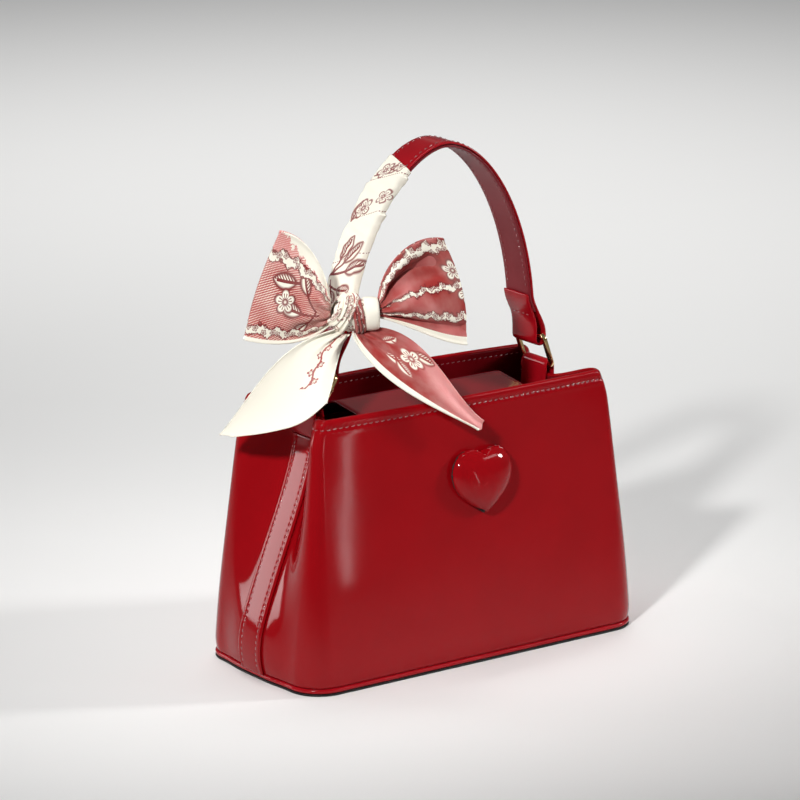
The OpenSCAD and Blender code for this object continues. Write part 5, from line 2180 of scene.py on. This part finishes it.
@dataclass
class Tail:
    """One hanging end of the scarf."""

    knot: Knot
    right: bool
    inner: tuple
    outer: tuple
    finish: Silk
    rounding: float = 0.0
    blunt: float = 0.0
    curl: float = 0.0
    curl_share: float = 0.2
    unit_size: float = 159.0
    wave: float = 1.6
    droop: float = 2.0
    gathers: tuple[float, float] = (1.1, 0.5)
    cloth: float = 0.5
    hem: float = 0.8
    width: float = 50.0
    rows: int = 110
    columns: int = 64

    def grid(self) -> Array:
        """Points of the tail's middle.

        Returns:
            Grid of points, from the knot to the tip.
        """
        v, t = np.linspace(0, 1, self.rows), crowded(self.columns, 0.15)
        inner, outer = np.array(self.inner) * self.unit_size, np.array(self.outer) * self.unit_size
        vv, tt = np.meshgrid(v, t, indexing="ij")
        vv = vv * (1 - self.rounding * clamp01(1 - tt / 0.3) ** 2
                   - self.blunt * clamp01((tt - 0.86) / 0.14) ** 0.6)
        control = inner[None] + (outer - inner)[None] * t[:, None, None]
        control[:, 0, 2] = -self.knot.under(control[:, 0, 0], control[:, 0, 1]) - 0.9
        g = cubic(control.transpose(1, 0, 2), vv)
        g[..., 1] += self.wave * np.sin(3 * math.pi * tt) * vv * (1.2 - vv)
        g[..., 2] -= self.droop * np.sin(math.pi * tt) * vv ** 2
        gather = np.exp(-(vv / 0.22) ** 2) * smooth(vv / 0.04)
        wide, fine = self.gathers
        g[..., 1] += gather * (wide * np.sin(TAU * 2.6 * tt + 0.9)
                               + fine * np.sin(TAU * 4.7 * tt + 5 * vv))
        curled = clamp01(1 - tt / self.curl_share) ** 2 * smooth(vv / 0.15)
        g += self.curl * curled[..., None] * np.array([0.72, 1.0, 0.0])
        return g + np.array([self.knot.x, self.knot.y, self.knot.z])

    def build(self) -> None:
        """Makes the tail."""
        g = self.grid()
        side = "right" if self.right else "left"
        share = np.linspace(0, 1, self.columns)
        thick = self.cloth + self.hem * (bump(share, 0.0, 0.02) + bump(share, 1.0, 0.02))
        thick = np.broadcast_to(thick, g.shape[:2]).copy()
        thick[-2:] += 0.5 * self.hem
        tail = slab(f"scarf_tail_{side}_silk", g, thick, flat_places(g, self.width))
        slot = "scarf_rose" if self.right else "scarf_cream"
        settle(tail, "handle", slot, (f"scarf_tail_{side}",), self.finish, self.finish)


WRAP_SILK = Silk(
    "Wrap silk", Motif.SPRIGS, width=9.0, border_low=NO_BORDER,
    leaves=(Stamp((0.024, 1.101), 203.0, 0.014), Stamp((0.027, 1.097), 232.0, 0.015),
            Stamp((0.033, 1.094), 262.0, 0.015), Stamp((0.043, 1.097), 285.0, 0.012),
            Stamp((0.042, 1.103), 330.0, 0.009), Stamp((0.025, 0.050), 195.0, 0.012),
            Stamp((0.021, -1.012), 250.0, 0.010)),
    flowers=(Stamp((0.019, 0.044), 20.0, 0.0062), Stamp((0.015, 0.031), 60.0, 0.0048),
             Stamp((0.019, -1.010), 10.0, 0.0055), Stamp((0.018, -1.021), 60.0, 0.0050)))
KNOT_SILK = Silk("Knot silk", Motif.FLOWERS, width=9.0, border_low=NO_BORDER)
KNOT_DARK_SILK = Silk("Dark knot silk", Motif.DARK, width=9.0, border_low=NO_BORDER,
                      bands=((0.0142, 0.0010), (0.0098, 0.0007)))
PLAIN_SILK = Silk("Plain silk", Motif.PLAIN, width=9.0)
HATCH_SILK = Silk(
    "Hatched silk", Motif.HATCH, border_low=0.0015, border_high=0.007, ragged=0.012,
    bands=((0.0055, 0.0022), (0.0395, 0.0024)),
    leaves=(Stamp((0.032, 0.030), 100.0, 0.014), Stamp((0.029, 0.021), 30.0, 0.013),
            Stamp((0.018, 0.022), 80.0, 0.014), Stamp((0.013, 0.017), 140.0, 0.012)),
    flowers=(Stamp((0.0215, 0.0335), 15.0, 0.0062),))
BANDS_SILK = Silk(
    "Banded silk", Motif.DARK, border_high=NO_BORDER,
    bands=((0.0465, 0.0026), (0.026, 0.0016), (0.0125, 0.0020)),
    flowers=(Stamp((0.034, 0.053), 0.0, 0.0062), Stamp((0.023, 0.057), 40.0, 0.0055)))
VINE_SILK = Silk("Vine silk", Motif.VINE, border_low=NO_BORDER, line=LIGHT_INK)
# The right tail's silk: its rose part is partly a painted satin sheen.
LEAF_SILK = Silk(
    "Leaf silk", Motif.FADING_SHEEN, border_low=0.006, border_high=NO_BORDER,
    leaves=(Stamp((0.030, 0.012), 20.0, 0.015), Stamp((0.020, 0.018), 80.0, 0.016),
            Stamp((0.022, 0.026), 110.0, 0.015), Stamp((0.040, 0.030), 60.0, 0.017)),
    flowers=(Stamp((0.033, 0.032), 0.0, 0.0100),), line=LIGHT_INK)


@dataclass
class Scarf:
    """The whole scarf on the handle."""

    handle: Handle

    def build(self) -> None:
        """Makes wrap, knot, loops and tails."""
        knot = Knot((
            KnotBand("left", -3.0, -11.5, 5.8, 0.7, 4.0, 2.3, KNOT_SILK, sway=0.6, waist=0.1),
            KnotBand("middle", 0.2, 4.2, 3.5, 0.1, 3.0, 1.8, KNOT_DARK_SILK, waist=0.1),
            KnotBand("right", 9.9, 10.6, 4.3, 1.5, 1.0, 0.5, PLAIN_SILK, waist=0.05, even=0.7)))
        Wrap(self.handle).build()
        knot.build()
        Loop(knot, False, ((0, -.08), (.28, -.26), (.67, -.27), (1.05, -.19)),
             ((0, .15), (.05, .41), (.22, .75), (.6, .83)), 60.0, 0.05, HATCH_SILK,
             dents=((0.42, 0.10, 2.6, 0.0, 0.7), (0.2, 0.06, 2.0, 0.05, 0.6))).build()
        Loop(knot, True, ((0, -.03), (.34, -.09), (.62, -.26), (.96, -.3)),
             ((0, .08), (.02, .36), (.33, .65), (.7, .61)), 68.0, 0.085, BANDS_SILK,
             dents=((0.77, 0.09, 12.0, 0.1, 0.93), (0.15, 0.045, 4.0, 0.0, 1.2))).build()
        Tail(knot, False, ((-.02, -.005, 0), (-.13, -.055, -.15), (-.17, -.13, -.23), (-.24, -.145, -.315)),
             ((-.065, .005, 0), (-.35, -.02, -.045), (-.31, .185, -.305), (-.40, .28, -.458)), VINE_SILK,
             rounding=0.15, blunt=0.03, curl=6.0).build()
        Tail(knot, True, ((-.02, -.03, 0), (0, -.145, -.235), (.215, -.24, -.33), (.38, -.245, -.433)),
             ((.06, -.025, 0), (.25, -.125, -.065), (.255, -.24, -.295), (.40, -.245, -.405)),
             LEAF_SILK).build()


# Parts that stay as the source makes them

# The heart's plate is near-black so that its showing edge gives the shadow line under the heart: painted
# shadow.
HIDDEN_FINISHES = {"base_board": BOARD, "front_board": BOARD, "back_board": BOARD, "heart_plate": SHADOW_LINE_BOARD,
                   "heart_rivets": STEEL, "magnet_front": STEEL, "magnet_flap": STEEL}


def dress_hidden_nodes() -> None:
    """Gives the nodes that stay their own materials."""
    for node, finish in HIDDEN_FINISHES.items():
        for slot in bpy.data.objects[node].material_slots:
            slot.material = finish.material()
        LOG.info("%s stays and has %s", node, finish.name.lower())


# Floor, light and camera

@dataclass
class Studio:
    """Pale floor, soft lamps and the camera of the photograph."""

    azimuth: float = -35.77
    elevation: float = 15.07
    distance: float = 2.55831
    target: tuple[float, float, float] = (-0.01788, 0.0, 0.14897)
    lens: float = 197.8
    floor_reach: float = 6.0
    sky: float = 0.12

    def direction(self, azimuth: float, elevation: float) -> Vector:
        """Finds the direction from the target to a place round it.

        Args:
            azimuth: 0 for the front, 90 for the right side.
            elevation: height above the level, in degrees.

        Returns:
            The direction.
        """
        a, e = math.radians(azimuth), math.radians(elevation)
        return Vector((math.sin(a) * math.cos(e), -math.cos(a) * math.cos(e), math.sin(e)))

    def camera(self) -> None:
        """Places the camera."""
        data = bpy.data.cameras.new("photo_camera")
        data.lens, data.sensor_width, data.clip_end = self.lens, 36.0, 50.0
        eye = bpy.data.objects.new("photo_camera", data)
        way = self.direction(self.azimuth, self.elevation)
        eye.location = Vector(self.target) + way * self.distance
        eye.rotation_euler = way.to_track_quat("Z", "Y").to_euler()
        bpy.context.scene.collection.objects.link(eye)
        bpy.context.scene.camera = eye

    def lamp(self, name: str, azimuth: float, elevation: float, away: float, size: tuple[float, float],
             power: float, spread: float = 180.0, colour: Colour = (1.0, 1.0, 1.0),
             aim: tuple[float, float, float] = (0.0, 0.0, 0.12), roll: float = 0.0) -> None:
        """Adds a soft rectangular lamp.

        Args:
            name: the lamp's name.
            azimuth: direction from what it lights to the lamp.
            elevation: height of that direction.
            away: distance from what it lights.
            size: width and height of the lamp.
            power: its power.
            spread: angle of its beam.
            colour: its colour.
            aim: what it lights.
            roll: turn about its beam.
        """
        data = bpy.data.lights.new(name, "AREA")
        data.shape, data.size, data.size_y = "RECTANGLE", *size
        data.energy, data.color = power, colour
        data.spread = math.radians(spread)
        lamp = bpy.data.objects.new(name, data)
        way = self.direction(azimuth, elevation)
        lamp.location = Vector(aim) + way * away
        turned = way.to_track_quat("Z", "Y") @ Quaternion((0, 0, 1), math.radians(roll))
        lamp.rotation_euler = turned.to_euler()
        lamp.visible_camera = False
        bpy.context.scene.collection.objects.link(lamp)

    def floor(self) -> None:
        """Adds a wide pale floor."""
        reach, steps = self.floor_reach / MM, 96
        a = TAU * np.arange(steps) / steps
        rim = np.stack([reach * np.cos(a), reach * np.sin(a), np.zeros(steps)], 1)
        sheet = make_object("studio_floor", rim, [list(range(steps))])
        dress(sheet, FLOOR_PAPER)

    def world(self) -> None:
        """Even pale light from all sides."""
        scene = bpy.context.scene
        scene.world = scene.world or bpy.data.worlds.new("Studio world")
        scene.world.use_nodes = True
        w = Wiring(scene.world.node_tree)
        sky = w.put("Background", {"Color": (0.93, 0.95, 1.0), "Strength": self.sky})
        w.put("OutputWorld", {"Surface": sky.outputs[0]})

    def build(self) -> None:
        """Sets up the studio."""
        self.camera()
        self.floor()
        self.world()
        self.lamp("key_right", 63.0, 20.0, 2.0, (0.26, 0.30), 0.46, 24.0)
        self.lamp("key_left", -58.0, 32.0, 2.0, (0.15, 0.15), 0.63, 24.0)
        self.lamp("rim", 45.0, 27.0, 1.4, (0.55, 0.14), 1.5)
        self.lamp("top", 0.0, 90.0, 1.5, (0.4, 0.4), 0.52, 50.0, aim=(-0.30, 0.08, 0.0))
        self.lamp("column", 26.6, -4.8, 0.361, (0.006, 0.135), 0.022, aim=(-0.089, -0.046, 0.107),
                  roll=21.0)
        self.lamp("card_back_left", -142.0, 8.0, 1.4, (0.5, 0.45), 1.25, 100.0)
        self.lamp("card_back", 140.0, 30.0, 1.6, (0.5, 0.3), 0.1, colour=(1.0, 0.8, 0.7))
        self.lamp("back_wash", 144.0, 90.0, 3.0, (1.2, 1.2), 10.6, 60.0, aim=(0.69, 1.06, 0.0))
        scene = bpy.context.scene
        scene.view_settings.view_transform = "Standard"


def main() -> None:
    """Builds every sub-assembly in order."""
    logging.basicConfig(level=logging.INFO, format="%(name)s: %(message)s")
    Studio().build()
    form = BagForm()
    rings = RingSizes()
    handle = Handle(rings)
    parts = [Walls(form), Base(form), SideStrip(form, False), SideStrip(form, True), Heart(form),
             Tab(form, rings, False), Tab(form, rings, True), ClosureFlap(form),
             Ring(rings, False), Ring(rings, True), handle, Scarf(handle)]
    for part in parts:
        LOG.info("building %s", type(part).__name__)
        part.build()
    dress_hidden_nodes()


if __name__ == "__main__":
    main()
